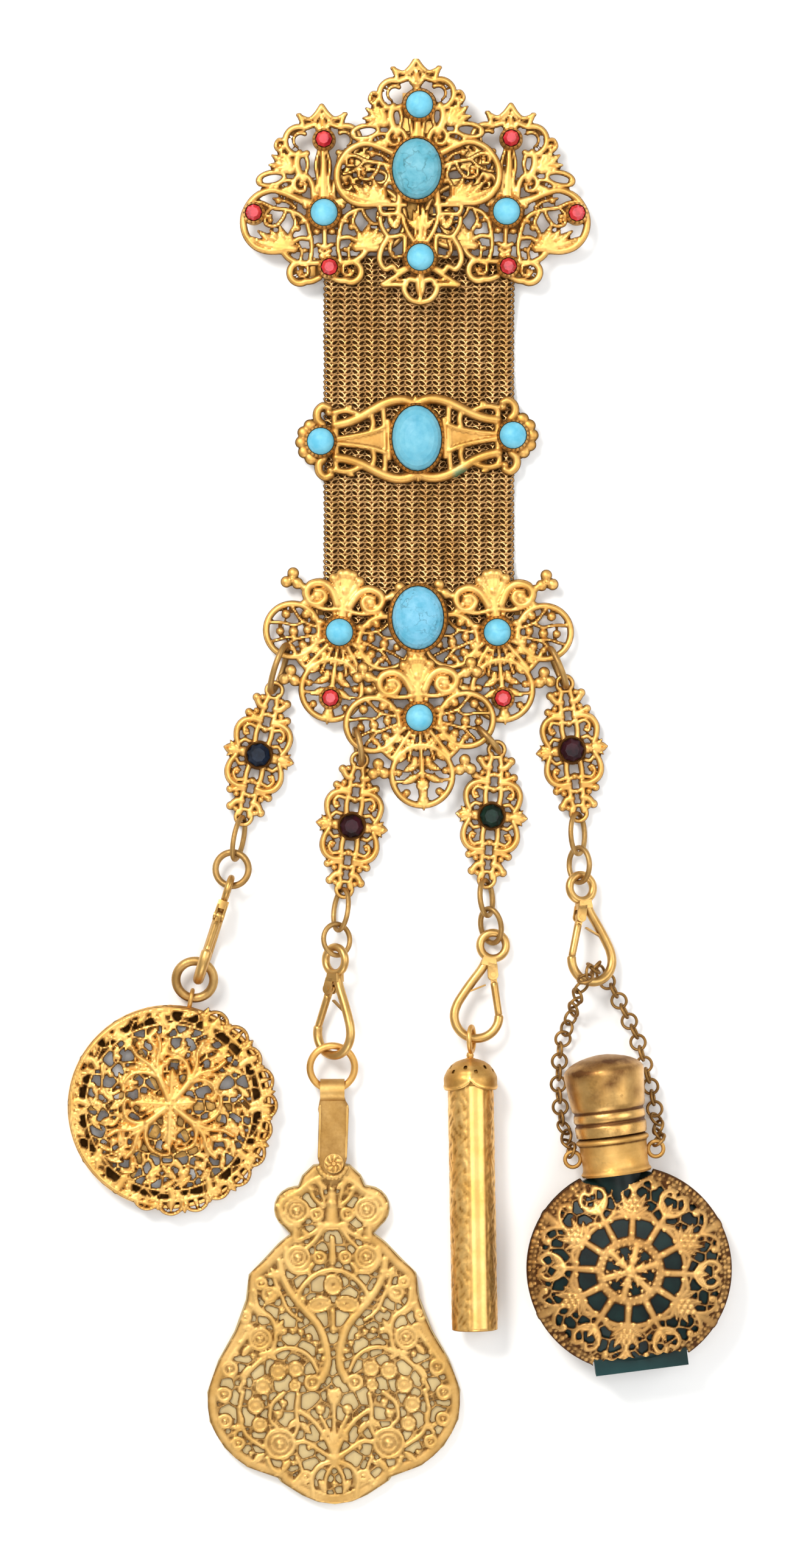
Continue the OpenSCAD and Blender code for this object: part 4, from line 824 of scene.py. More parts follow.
def trilobe_side(s):
    """The left half of a trilobed stamping."""
    # shell and volutes over the stone
    s.band([[-1.2, 5.4], [-2.6, 8.0], [-4.6, 9.2], [-6.8, 8.6], [-7.6, 6.9], [-6.6, 5.2], [-4.8, 5.0],
            [-3.7, 6.3], [-4.4, 7.6], [-5.7, 7.5]], 1.5, 1.0, 0.85)
    s.bead((-5.3, 6.6), 1.2, 0.8)
    s.band([[-7.4, 7.2], [-8.4, 8.0], [-9.6, 8.8]], 1.2, 1.0)
    clover(s, (-10.6, 9.1))
    s.band([[-7.4, 5.0], [-3.6, 4.2], [0, 4.6]], 0.8, 0.9, 0.6)
    for a, length in ((110, 3.0), (143, 3.0)):
        way = compass(a)[0]
        s.band([way * 0.9 + [0, 6.4], way * length * 0.9 + [0, 8.2]], 0.9, 1.3, 0.6)
        s.bead(way * length * [1.05, 1] + [0, 8.6], 1.1, 0.85)
    # side ring and what fills it
    s.hoop((-9.2, -0.8), 5.2, 1.0, 0.75)
    s.band([[-3.4, 0.2], [-5.6, 0.7], [-7.8, 1.4], [-9.2, 2.9], [-10.2, 4.0]], 0.6, 0.6, 0.6)
    s.band([[-7.2, 1.2], [-9.0, 0.2], [-11.0, 0.4], [-13.6, 0.2]], 0.6, 0.6, 0.6)
    s.band([[-3.4, -0.8], [-6.0, -1.6], [-8.6, -2.6], [-10.6, -4.6]], 0.6, 0.6, 0.6)
    s.band([[-7.8, -2.3], [-9.6, -2.2], [-12.6, -3.4]], 0.55, 0.55, 0.6)
    for x, y, r in ((-7.0, 2.7, 0.95), (-5.4, 2.2, 0.8), (-10.9, 2.2, 0.95), (-9.0, -1.0, 1.0),
                    (-11.6, -1.3, 0.85), (-6.3, -0.3, 0.9), (-6.8, -3.4, 0.95), (-8.9, -4.2, 0.75),
                    (-4.9, -2.3, 0.85)):
        s.bead((x, y), r, 0.85)
    s.band([[-8.0, 4.4], [-7.0, 5.4], [-6.4, 6.0]], 1.2, 1.0)
    # rays and leaves between the stone and the lower ring
    for a, reach, w in ((253, 8.6, 0.6), (234, 9.6, 0.85), (214, 8.2, 0.7)):
        way = compass(a)[0]
        s.band([way * 3.0, way * reach], w, w, 0.65)
    for a, out, r in ((262, 5.8, 0.7), (244, 5.6, 0.8), (224, 5.8, 0.8), (261, 8.8, 0.9), (244, 8.4, 0.9),
                      (225, 8.6, 0.9)):
        way = compass(a)[0]
        s.leaf(way * (out - r), way * (out + r * 1.2), r * 1.5, 0.8)
    s.band(arc((0, 0), 9.6, 205, 240, 6), 0.8, 0.8, 0.6)
    s.leaf((-1.0, -9.2), (-3.6, -10.4), 1.5)
    s.leaf((-1.0, -11.4), (-3.9, -12.8), 1.5)
    s.band([[-0.6, -11.0], [-2.6, -12.2], [-5.6, -12.4]], 0.6, 0.6)
    s.bead((-4.6, -10.6), 0.8, 0.85)
    s.bead((-3.2, -14.6), 0.8, 0.85)
    clover(s, (-8.5, -9.9))
    s.bead((-3.9, 1.5), 0.8, 0.9)
    s.bead((-3.9, -1.5), 0.8, 0.9)


def trilobe(s, spot):
    for flip in (1, -1):
        trilobe_side(s.at(spot, flip))
    s.at(spot)
    s.band([[0, 2.6], [0, 6.6]], 1.5, 1.8)
    s.band([[0, 7.2], [0, 10.6]], 0.9, 1.3, 0.6)
    s.bead((0, 11.6), 1.15, 0.9)
    s.bead((0, 8.2), 1.1, 0.8)
    s.hoop((0, -11.3), 5.9, 1.0, 0.75)
    s.band([[0, -2.6], [0, -7.0], [0, -11.6]], 0.6, 1.0)
    s.bead((0, -13.2), 1.35, 0.9)
    s.hoop((0, -13.2), 1.0, 0.4, 0.95)
    s.band([[0, -13.4], [0, -17.0]], 1.6, 1.2)
    s.band([[0, -16.4], [0, -18.1]], 1.9, 0.3, 0.8)
    s.seat((0, 0), 3.6)
    for a in range(22, 360, 45):
        s.bead(compass(a)[0] * 3.75, 0.6, 0.7)


plaque = Stamping((-29, 36, 9, 44))
for k in (0, 1):
    trilobe(plaque, LOBES[k])
    plaque.seat((0, -RED_DROP), 2.2)
lower = Shell()
plaque.mesh(lower, LOWER_Z)
for k in (0, 1):
    collet(lower, LOBES[k], BLUE_SETTING, LOWER_Z, 2.5)
    x, y = put([(0, -RED_DROP)], LOBES[k])[0]
    collet(lower, (x, y, 0), RED_SETTING, LOWER_Z, 2.2)
staple(lower, -17.2, 25.4, 33, 37, 0, LOWER_Z + 0.2)
lower.make("lower_plate_relief", GOLD, replaces="lower_plate")

plaque = Stamping((-12, 21, -7, 41))
trilobe(plaque, LOBES[2])
plaque.band([[0, 10.6], [0, 14.6]], 1.6, 2.0)
for side in (-1, 1):
    plaque.bead((side * 1.0, 12.9), 0.9, 0.8)
plaque.at(BIG_LOWER)
plaque.band(oval((0, 0), 3.0, 3.9), 6.0, rise=0.2, kind="flat", closed=True)
over = Shell()
plaque.mesh(over, LOWER_TOP_Z)
collet(over, BIG_LOWER, (5.05, 6.2, 38), LOWER_TOP_Z, 2.6)
collet(over, LOBES[2], BLUE_SETTING, LOWER_TOP_Z, 2.5)
over.make("lower_overlay_relief", GOLD, replaces="lower_overlay")


# Link plates of the drops
NARROW = 0.8    # width of a link plate against the drawing below


def drop_quarter(s):
    """The upper left quarter of a link plate."""
    s.band([[-1.6, 6.6], [-3.6, 6.7], [-5.6, 5.9], [-6.6, 4.3], [-6.3, 2.4], [-5.4, 0.9]], 1.2, 1.0, 0.85)
    s.band([[-2.6, 5.4], [-4.0, 5.6], [-5.0, 4.6], [-4.6, 3.5], [-3.7, 3.7]], 0.8, 0.6, 0.6)
    s.bead((-4.2, 4.2), 0.5, 0.9)
    s.band([[-1.6, 2.0], [-1.9, 4.0], [-1.7, 6.0], [-1.6, 8.0], [-1.5, 9.8], [-1.0, 11.6]], 1.0, 0.9, 0.6)
    s.band([[-1.6, 7.2], [-3.0, 7.3], [-4.4, 7.8]], 1.1, 0.8, 0.7)
    s.bead((-4.8, 7.8), 0.8, 0.8)
    s.bead((-3.1, 8.4), 0.65, 0.8)
    s.band([[-1.4, 9.5], [-2.6, 9.7], [-3.7, 10.8]], 1.3, 1.1, 0.7)
    s.bead((-3.8, 11.0), 0.85, 0.8)
    s.bead((-2.4, 11.3), 0.6, 0.7)
    s.band([[-1.4, 5.6], [0, 5.3], [1.4, 5.6]], 0.8, 0.8, 0.6)
    s.band([[-1.4, 7.9], [0, 8.2], [1.4, 7.9]], 0.8, 0.8, 0.6)
    s.bead((0, 5.2), 0.75, 0.9)
    s.bead((0, 8.2), 0.6, 0.8)
    s.band([[-3.0, 2.2], [-4.2, 2.4], [-5.2, 1.6]], 0.8, 0.8, 0.6)
    s.band([[-1.1, 11.0], [-1.2, 12.2]], 0.9)


def drop_plate(k):
    """A drop's link plate: four quarters, a leaf at each side, two eyes and the setting of its stone."""
    x, y = DROPS[k][:2]
    s = Stamping((x - 12, x + 12, y - 17, y + 17), 0.21, full=1.2)
    for flip in (NARROW, -NARROW):
        for up in (1, -1):
            drop_quarter(s.at(DROPS[k], flip, up))
        s.at(DROPS[k], flip)
        s.leaf((-5.0, 0), (-8.6, 0), 2.3, 0.9)
        s.bead((-6.2, 0), 1.35, 0.9)
        s.leaf((-5.6, 0), (-7.6, 1.5), 1.1)
        s.leaf((-5.6, 0), (-7.6, -1.5), 1.1)
        s.bead((-3.9, 0), 1.1, 0.8)
    s.at(DROPS[k])
    s.hoop((0, 13.1), 1.525, 0.75)
    s.hoop((0, -12.5), 1.525, 0.75)
    s.seat((0, 0), 2.9)
    shell = Shell()
    s.mesh(shell, PLATE_Z)
    collet(shell, DROPS[k], (2.3, 2.3, 8), 0, PLATE_Z + 2.4, 0.2, 0.42, 0.7)
    shell.make(f"drop_{k + 1}_plate_relief", GOLD, replaces=f"drop_{k + 1}_plate")


for k in range(4):
    drop_plate(k)


# Mesh ribbon
RIBBON_X = 4.1
RIBBON_W = 38.0
# y and the height of the ribbon's underside, as it runs over and behind the plaques' bars
RIBBON_PATH = [(31, 0.75), (41, 0.75), (45, 0.05), (55, 0.05), (59, 0.75), (76, 0.75), (80, 0.05),
               (88, 0.05), (97.5, 2.35), (103.6, 2.35)]
LINK_PITCH = 1.14
COLUMNS = 28


def ribbon_height(y):
    """Height of the ribbon's underside, its bends rounded."""
    path = np.array(RIBBON_PATH)
    return sum(np.interp(y + d, path[:, 0], path[:, 1]) for d in (-1, 0, 1)) / 3


def ribbon():
    shell = Shell()
    pitch = (RIBBON_W - 1.0) / COLUMNS
    t = np.linspace(0, 2 * math.pi, 8, endpoint=False) + 0.2
    ring = np.stack([0.84 * np.cos(t), 0.46 * np.sin(t), 0.10 * np.cos(t) ** 2 + 0.12 * np.sin(t)], 1)
    link, faces = tube(ring, 0.29, 5, True, 0.3)
    rng = np.random.default_rng(7)
    for column in range(COLUMNS):
        x = RIBBON_X - RIBBON_W / 2 + 0.5 + pitch * (column + 0.5)
        hand = 1 if column % 2 else -1
        y = 31.9
        while y < 102.7:
            wobble = rng.uniform(-0.05, 0.05, 3)
            twist = rng.uniform(-5, 5) + 32 * hand
            v = link @ (spin("z", twist) @ spin("y", 14 * hand)).T
            # each link is browned towards its underside: painted shade and patina
            low_patina_and_shade = np.clip(0.62 - (v[:, 2] + 0.02) * 2.0, 0, 1)
            v[:, 2] += (ribbon_height(y + 0.5) - ribbon_height(y - 0.5)) * v[:, 1]
            shell.add(v + np.array([x, y, ribbon_height(y) + 0.82]) + wobble, faces, low_patina_and_shade)
            y += LINK_PITCH
    # a band under the links, dark all over with painted shade, closes the gaps between them
    x0, x1 = RIBBON_X - RIBBON_W / 2 + 0.9, RIBBON_X + RIBBON_W / 2 - 0.9
    rows = [[(x0, y, z + 0.05), (x1, y, z + 0.05), (x1, y, z + 0.5), (x0, y, z + 0.5)]
            for y, z in ((y, ribbon_height(y)) for y in np.linspace(31.0, 103.6, 60))]
    band = [f[::-1] for f in lattice(60, 4)] + [(0, 1, 2, 3), (239, 238, 237, 236)]
    shell.add(np.array(rows).reshape(-1, 3), band, 1.0)
    shell.make("mesh_ribbon_links", LINKS, replaces="mesh_ribbon", angle=80)


ribbon()


# Hooks, gates and links of round wire
# the eye's centre, turn, pitch, roll and hand of each hook, its wire, its eye's radius and the eye's wire
HOOKS = [(-33.4, -20.9, 4.3, -18, -5.4, -90, 1, 1.05, 2.2, 0.7),
         (-12.3, -34.9, 4.4, -1, 0, -42, -1, 0.9, 2.55, 0.8),
         (18.7, -32.1, 2.1, -13.3, -7.2, 0, 1, 0.9, 2.55, 0.8),
         (36.0, -20.7, 3.6, 8.2, -4, 25, -1, 0.9, 2.55, 0.8)]
HOOK_L = 19.6
BOW_R = 4.4
GATE_R = 0.75
PIVOT = np.array([1.3, -5.7])


def hook_place(k):
    """The matrix and the place that bring a flat hook to where it hangs, and whether it is mirrored."""
    x, y, z, turn, pitch, roll, hand = HOOKS[k][:7]
    return spin("z", turn) @ spin("x", pitch) @ spin("y", roll) @ np.diag([hand, 1, 1]), (x, y, z), hand < 0


def plate_prism(polygon, z0, z1, ease=0.08):
    """A small flat piece from its outline, its edges eased."""
    p = np.asarray(polygon, float)
    if np.sum(p[:, 0] * np.roll(p[:, 1], -1) - np.roll(p[:, 0], -1) * p[:, 1]) < 0:
        p = p[::-1]
    middle = p.mean(0)
    rows = []
    for share, level in ((0.95, z0), (1.0, z0 + ease), (1.0, z1 - ease), (0.95, z1)):
        q = middle + (p - middle) * share
        rows.append(np.column_stack([q, np.full(len(p), level)]))
    n = len(p)
    faces = lattice(4, n) + [tuple(range(n - 1, -1, -1)), tuple(range(3 * n, 4 * n))]
    return np.concatenate(rows), faces


def flat(points):
    """Points in the plane, given a third coordinate of 0."""
    p = np.asarray(points, float)
    return np.column_stack([p, np.zeros(len(p))])


def ring_wire(wide, wire, sides=14, around=48, long=None):
    """A round wire bent to a ring, or to an oval where its length is given."""
    t = np.linspace(0, 2 * math.pi, around, endpoint=False)
    return tube(np.stack([wide * np.cos(t), (long or wide) * np.sin(t), 0 * t], 1), wire, sides, True)


def hook(k):
    """A snap hook, drawn flat and then placed: eye, bow, block, cheeks, pin and spring, and its gate."""
    r, eye, eye_wire = HOOKS[k][7:10]
    place = hook_place(k)
    bow = (0, 5.3 - HOOK_L)
    nose = bow + compass(12)[0] * BOW_R
    way = (nose - PIVOT) / np.linalg.norm(nose - PIVOT)
    inward = np.array([way[1], -way[0]])
    end = nose - way * 0.45
    body = Shell()
    body.place(ring_wire(eye, eye_wire), *place)
    shank = [[-0.7, -3.4], [-1.2, -5.2], [-2.7, -8.6], [-4.0, -12.0]]
    line = smooth_line(shank + arc(bow, BOW_R, 170, 372, 16), 3)
    body.place(tube(flat(line), r, 16), *place)
    body.place(plate_prism([[-1.4, -2.5], [1.3, -2.5], [1.7, -4.2], [-1.5, -4.2]], -1.05, 1.05, 0.2), *place)
    cheek = [[-0.4, -3.4], [1.6, -3.4]] + arc(PIVOT, 1.05, 35, -150, 14)
    for low in (-1.05, 0.6):
        body.place(plate_prism(cheek, low, low + 0.45), *place)
    body.place(plate_prism(arc(PIVOT, 0.55, 0, 342, 18), -1.12, 1.12, 0.12), *place)
    tip = PIVOT + way * 1.7 + inward * (GATE_R + 0.95)
    foot = np.array([-3.2, -10.4])
    along = (tip - foot) / np.linalg.norm(tip - foot)
    across = np.array([-along[1], along[0]])
    spring = [foot + across * 0.17, foot - across * 0.17, tip - across * 0.15, tip + across * 0.15]
    body.place(plate_prism(spring, -0.4, 0.4, 0.05), *place, patina_and_shade=0.3)
    body.make(f"hook_{k + 1}_wire", POLISHED, replaces=f"hook_{k + 1}")
    gate = Shell()
    t = np.linspace(0, 1, 9)[:, None]
    line = (PIVOT + way * 1.65) * (1 - t) + end * t
    gate.place(tube(flat(line), np.linspace(0.75, 0.72, 9), 16), *place)
    knuckle = arc(PIVOT, 0.9, 0, 345, 24)
    gate.place(plate_prism(knuckle, -0.5, 0.5), *place)
    across = np.array([-way[1], way[0]])
    root = [PIVOT + across * 0.65, PIVOT - across * 0.65, PIVOT + way * 2 - across * 0.6,
            PIVOT + way * 2 + across * 0.6]
    gate.place(plate_prism(root, -0.5, 0.5), *place)
    gate.make(f"gate_{k + 1}_wire", POLISHED, body=f"gate_{k + 1}",
              replaces=f"gate_{k + 1}")


for k in range(4):
    hook(k)

# middle, half width, half length, wire, turn, tilt and pitch of each link, drop by drop
LINK_TABLE = [
    [(-23.4, 22.42, 3.4, 2.95, 4.85, 0.5, -17.1, 105, 9.5),
     (-31.32, -11, 2.9, 2.5, 4.25, 0.42, -11.7, -68.6, -11.1),
     (-32.6, -17.03, 3.8, 3.3, 3.3, 0.55, 0, 9.7, -3.2)],
    [(-7.8, 7.1, 3.25, 2.7, 3.35, 0.5, 9.9, 80.8, 0),
     (-11.21, -25.03, 2.64, 2.45, 4.1, 0.42, -6, 55.9, -11.5),
     (-12.04, -30.88, 3.95, 2.8, 3.1, 0.42, 0, -23.7, -9.4)],
    [(17.81, 8.4, 3.32, 2.7, 3.1, 0.5, 42, 84.8, 3.7),
     (17.35, -22.7, 2.78, 2.5, 3.5, 0.45, 1.9, -60.2, -13.7),
     (18.27, -28.2, 2.75, 2.6, 3.7, 0.45, -1.1, 38.9, 26.4)],
    [(31.47, 22.6, 3.27, 2.7, 4.02, 0.5, 22, 82.5, 8.6),
     (35.32, -10.08, 2.78, 2.6, 4.0, 0.42, 0, -57, -10),
     (35.61, -16.22, 3.45, 2.9, 3.4, 0.45, 0, 48.5, 0)]]
WIRE_GROWTH = 1.2       # the links' wire, against the CAD's
CLEARANCE = 0.02        # and how far they stay over the floor, mm

for k, links_here in enumerate(LINK_TABLE):
    shell = Shell()
    for x, y, z, wide, long, wire, turn, tilt, pitch in links_here:
        verts, faces = ring_wire(wide, wire * WIRE_GROWTH, 12, 40, long)
        verts = verts @ (spin("z", turn) @ spin("x", pitch) @ spin("y", -tilt)).T + [x, y, z]
        verts[:, 2] += max(0.0, CLEARANCE - verts[:, 2].min())
        shell.add(verts, faces, 0.25)
    shell.make(f"drop_{k + 1}_link_wires", WORN, replaces=f"drop_{k + 1}_links")


# Round case
ROUND = (-44.9, -63.8, 0)
ROUND_Z = 4.5
HUB = (ROUND[0] + 0.25, ROUND[1] + 0.6, 0)


def feather(s, angle, length, width):
    """A lobed leaf out from the hub: a spine with paired lobes along it."""
    s.at(outward(HUB, angle))
    s.band([[0, 0], [length, 0]], 1.3, 0.8, 1.1, soft=False)
    for share, reach in ((0.35, 0.7), (0.58, 1.0), (0.78, 0.75)):
        for hand in (-1, 1):
            start = length * (share - 0.16)
            s.leaf((start, 0), (start + length * 0.26, hand * width * reach), 1.7, 0.95)
    s.leaf((length * 0.6, 0), (length * 1.12, 0), 1.8, 1.05)


def round_front():
    s = Stamping((-66, -22.5, -86.5, -41.5), 0.26, full=1.35).at(ROUND)
    s.lace(3.6, 16.6, 2.9, 0.56, 0.5, 3)
    s.lace(16.2, 19.2, 3.0, 0.5, 0.42, 4)
    # the hub's four feathers and small leaves
    for a, length, width in ((86, 6.4, 1.5), (6, 4.6, 1.3), (176, 6.8, 2.3), (268, 8.2, 1.7)):
        feather(s, a, length, width)
    for a in (28, 62, 108, 150, 206, 246, 292, 330):
        s.at(outward(HUB, a)).leaf((0, 0), (3.4, 0), 1.5, 1.1)
    s.at(HUB).bead((0, 0), 0.9, 1.3)
    # four stems that fork into scrolls between them
    for a in (112, 50, 322, 218):
        s.at(outward(HUB, a)).band([[1.2, 0], [3.6, 0], [5.8, 0]], 1.2, 1.5, 1.25)
        fork = outward(HUB, a, 5.8)
        for hand, wide in ((-1, 1.0), (1, 1.25)):
            s.at(fork, 1, hand)
            s.band([[-0.6, 0], [1.6, 1.2 * wide], [2.6, 3.4 * wide], [1.6, 5.4 * wide], [0.2, 6.0 * wide],
                    [-0.2, 4.9 * wide]], 1.0, 0.6, 0.9)
            s.bead((0.1, 4.7 * wide), 0.8, 1.1)
            s.band([[0.4, 0], [3.2, 0.9], [5.4, 2.4], [7.6, 2.8]], 1.0, 0.8, 1.0)
            s.leaf((3.0, 1.2), (4.6, 3.4), 1.3, 0.9)
            s.bead((7.4, 1.2), 0.9, 0.8)
        s.at(fork).leaf((0.8, 0), (4.4, 0), 1.3, 1.0)
    # scattered leaves and beads outside them
    rng = np.random.default_rng(11)
    for a in range(0, 360, 15):
        s.at(outward(ROUND, a + rng.uniform(-3, 3)))
        out = rng.uniform(12.6, 14.6)
        s.bead((out, 0), rng.uniform(0.6, 1.0), 0.8)
        far = rng.uniform(9.2, 12.4)
        bend = rng.uniform(-1.6, 1.6)
        s.leaf((far, -bend), (far + 2.4, bend), 1.5, 0.7)
        s.band([[far - 1.2, bend], [far, bend + 0.9], [far + 1.4, bend + 0.4]], 0.8, 0.5, 0.6)
        s.leaf((15.6, -1.2), (14.0, 1.4), 1.2, 0.7)
        if a % 30 == 0:
            s.band([[16.2, 0], [17.8, rng.uniform(-0.8, 0.8)], [19.2, 0]], 1.1, 1.3, 0.6)
            s.leaf((16.4, 1.0), (18.9, 2.8), 1.3, 0.7)
            s.bead((17.6, 1.4), 0.7, 0.8)
    s.at(ROUND)
    s.hoop((0, 0), 16.4, 0.5, 0.5)
    s.band(arc((0, 0), 19.3, 74, 262, 34), 0.8, 0.8, 0.8)
    for a in range(80, 260, 9):
        s.at(outward(ROUND, a + rng.uniform(-3, 3)))
        s.leaf((19.4, -1.0), (rng.uniform(17.2, 18.4), rng.uniform(0.2, 1.6)), 1.5, 0.7)
    # ragged lobes lie over the rim at the right and below, with a leaf between each two
    between = compass(7.5)[0]
    for k, a in enumerate(range(-104, 74, 15)):
        out = 19.7 if k % 3 else 19.2
        s.at(outward(ROUND, a))
        s.band([[out - 1.6, -1.8], [out + 0.4, -1.9], [out + 1.3, 0], [out + 0.4, 1.9], [out - 1.6, 1.8]],
               0.55, 0.55, 0.6)
        s.leaf((out - 1.4, 0), (out + 0.9, 0), 1.0, 0.7)
        s.band([[18.3, -2.2], [18.3, 2.2]], 0.7, 0.7, 0.6)
        s.leaf(between * 18.4, between * (20.9 if k % 2 else 20.2), 1.4, 0.8)
        s.bead(between * 19.2 + [0, 0.5], 0.7, 0.9)
    # nothing reaches past the rim at the left
    s.S = np.maximum(s.S, -19.95 - (s.X - ROUND[0]))
    shell = Shell()

    def dome(x, y):
        r2 = ((x - ROUND[0]) ** 2 + (y - ROUND[1]) ** 2) / 400
        return -0.75 * r2 + 0.1

    s.mesh(shell, ROUND_Z, dome, thick=0.35, span=0.56, tone=-0.12)
    shell.make("round_case_front_lace", GOLD, replaces="round_case_front")


round_front()


# Scent bottle cage
BOTTLE = (45.2, -95.2, 7.3)
BOTTLE_Z = 8.0
CAGE_R = 20.2
CAGE_H = 7.8
CAGE_SHEET = 0.30


def lens(r):
    """Height of the bottle's face over its middle plane, at a distance from its centre."""
    k = np.clip(np.asarray(r, float) / CAGE_R, 0, 1)
    soft = [np.interp(np.clip(k + d, 0, 1), (0, 0.55, 0.88, 1.0), (1.0, 0.86, 0.56, 0.2))
            for d in (-0.07, -0.035, 0, 0.035, 0.07)]
    return CAGE_H * sum(soft) / 5


def vine_leaf(s):
    """A leaf of five lobes with a bunch of grapes on it."""
    for tip, w in (((16.2, 0), 1.9), ((15.0, 2.4), 1.7), ((15.0, -2.4), 1.7), ((12.8, 3.1), 1.5),
                   ((12.8, -3.1), 1.5)):
        s.leaf((10.8, 0), tip, w, 0.55)
    for row, wide in enumerate((1, 2, 3, 2)):
        for grape in range(wide):
            s.bead((14.9 - 1.05 * row, (grape - (wide - 1) / 2) * 1.15), 0.62, 0.85)
    s.band([[15.2, 0], [19.2, 0]], 0.9, 1.6, 0.5)


def cage_face(s):
    """The scrollwork of one face of the cage."""
    s.lace(11.2, 18.2, 2.9, 0.5, 0.42, 5)
    s.bead((0, 0), 1.5, 0.8)
    for a in range(8, 368, 60):
        for hand in (-1, 1):
            s.at(outward(BOTTLE, a), 1, hand)
            s.leaf((2.2, 0.2), (3.3, 1.3), 0.7)
            s.bead((4.3, 1.1), 0.45, 0.7)
        s.bead((2.0, 0), 1.0, 0.7)
        s.band([[1.2, 0], [5.4, 0]], 1.0, 1.3, 0.6)
    s.at(BOTTLE)
    s.hoop((0, 0), 5.8, 1.5, 0.45)
    for a in range(0, 360, 12):
        s.bead(compass(a)[0] * 5.3, 0.42, 0.65)
        s.bead(compass(a + 6)[0] * 6.3, 0.42, 0.6)
    s.hoop((0, 0), 10.8, 0.9, 0.45)
    # twelve spokes end in vine leaves and in scrolls by turns
    for k in range(12):
        spot = outward(BOTTLE, 20 + 30 * k)
        for hand in (-1, 1):
            s.at(spot, 1, hand)
            s.band([[10.2, 0], [11.0, 1.2], [11.5, 2.8]], 0.8, 0.8, 0.5)
            s.bead((10.4, 1.2), 0.6, 0.7)
            if k % 2:
                s.band([[12.6, 0], [14.0, 1.9], [16.2, 2.5], [17.6, 1.3], [16.8, 0.4]], 0.8, 0.8, 0.6)
                s.leaf((13.2, 0), (15.4, 2.9), 1.1)
            else:
                s.band([[15.4, 0], [17.2, 1.2], [18.0, 3.0], [17.0, 4.4]], 0.8, 0.7, 0.55)
                s.bead((16.6, 4.0), 0.85, 0.8)
        s.at(spot)
        s.band([[6.4, 0], [9.0, 0], [11.4, 0]], 1.25, 1.0, 0.5)
        s.bead((7.4, 0), 0.75, 0.7)
        if k % 2:
            s.band([[11.4, 0], [13.4, 0]], 0.8, 1.1, 0.5)
            s.leaf((13.2, 0), (15.4, 0), 1.1, 0.7)
            s.bead((13.2, 0), 1.0, 0.8)
        else:
            vine_leaf(s)
    # a grained border closes the face
    s.at(BOTTLE)
    s.hoop((0, 0), 19.0, 1.5, 0.22)
    rng = np.random.default_rng(21)
    for a in range(0, 360, 3):
        for out in (17.9, 18.7, 19.5):
            if out > 18 or a % 2:
                grain = compass(a + rng.uniform(-1.2, 1.2))[0] * out
                s.bead(grain, rng.uniform(0.34, 0.58), rng.uniform(0.4, 0.75))
    s.Z = CAGE_SHEET + (s.Z - CAGE_SHEET) * 0.72


def cage_stamping(step):
    x, y, turn = BOTTLE
    s = Stamping((x - 21, x + 21, y - 21, y + 21), step, CAGE_SHEET, 1.4).at(BOTTLE)
    cage_face(s)
    across, along = compass(turn)
    u = (s.X - x) * across[0] + (s.Y - y) * across[1]
    v = (s.X - x) * along[0] + (s.Y - y) * along[1]
    # the neck and the foot of the bottle stand clear of the cage, whose edge is wavy there
    neck = 7.4 + 0.35 * np.abs(np.sin(v * 2)) - np.hypot(u, np.minimum(v - 19.5, 0) * 2.6)
    foot = -(v + 16.6 + 0.5 * np.abs(np.sin(u * 1.4)) + 4 * np.maximum(np.abs(u) - 9.2, 0))
    for limit in (neck, foot, np.hypot(u, v) - CAGE_R):
        s.S = np.maximum(s.S, limit)
    return s


def cage():
    x, y = BOTTLE[:2]
    shell = Shell()

    def dome(px, py):
        return lens(np.hypot(px - x, py - y)) - 0.74

    cage_stamping(0.26).mesh(shell, BOTTLE_Z, dome, thick=0.42, span=0.48)
    # the far half repeats the near one on a coarser grid
    far = Shell()
    cage_stamping(0.46).mesh(far, BOTTLE_Z, dome, thick=0.42)
    back = np.concatenate(far.verts) * [1, 1, -1] + [0, 0, 2 * BOTTLE_Z]
    shell.add(back, [f[::-1] for f in far.faces], np.concatenate(far.patina_and_shade))
    shell.make("bottle_cage_lace", CAGE_GOLD, replaces="bottle_cage")


cage()


# Notebook
BOOK = (-13.1, -75.4, 0.6)
RIVET = (-12.6, -74.8)
COVER_Z = 2.4
STRAP_Z = 3.4
STEM = 0.42         # height of the cover's stems over its sheet, mm
# the right side of the cover's outline, above and below a round shoulder
BOOK_SIDE = [[0, 0.7], [3.6, 0.2], [5.8, -1.9], [6.6, -3.9]]
BOOK_FLANK = [[8.3, -13.4], [10.6, -15.2], [13.6, -18.4], [16.5, -21.3], [17.1, -26.2], [19.4, -32.4],
              [22.7, -38.2], [24.9, -44.4], [24.5, -50.2], [21.6, -55.4], [17.2, -59.2], [11.2, -61.4],
              [10.6, -62.2], [6.4, -64.9], [3.4, -66.2], [0, -66.7]]
# x, y, ring radius and bead radius of the cover's rosettes, on one side
ROSETTES = [(6.9, -8.8, 2.2, 0.8), (3.0, -9.6, 1.1, 0.55), (6.7, -18.0, 2.1, 0.8),
            (2.5, -18.0, 1.0, 0.5), (14.4, -33.9, 2.0, 0.75), (12.4, -25.2, 1.3, 0.6),
            (4.2, -42.6, 1.3, 0.65), (10.7, -54.6, 2.8, 0.9), (20.4, -39.8, 1.3, 0.55),
            (21.6, -44.8, 1.2, 0.5), (21.4, -50.0, 1.1, 0.5), (18.9, -54.4, 1.0, 0.5),
            (14.0, -23.0, 0.9, 0.5), (17.2, -29.6, 0.9, 0.45), (5.6, -61.0, 0.9, 0.5)]
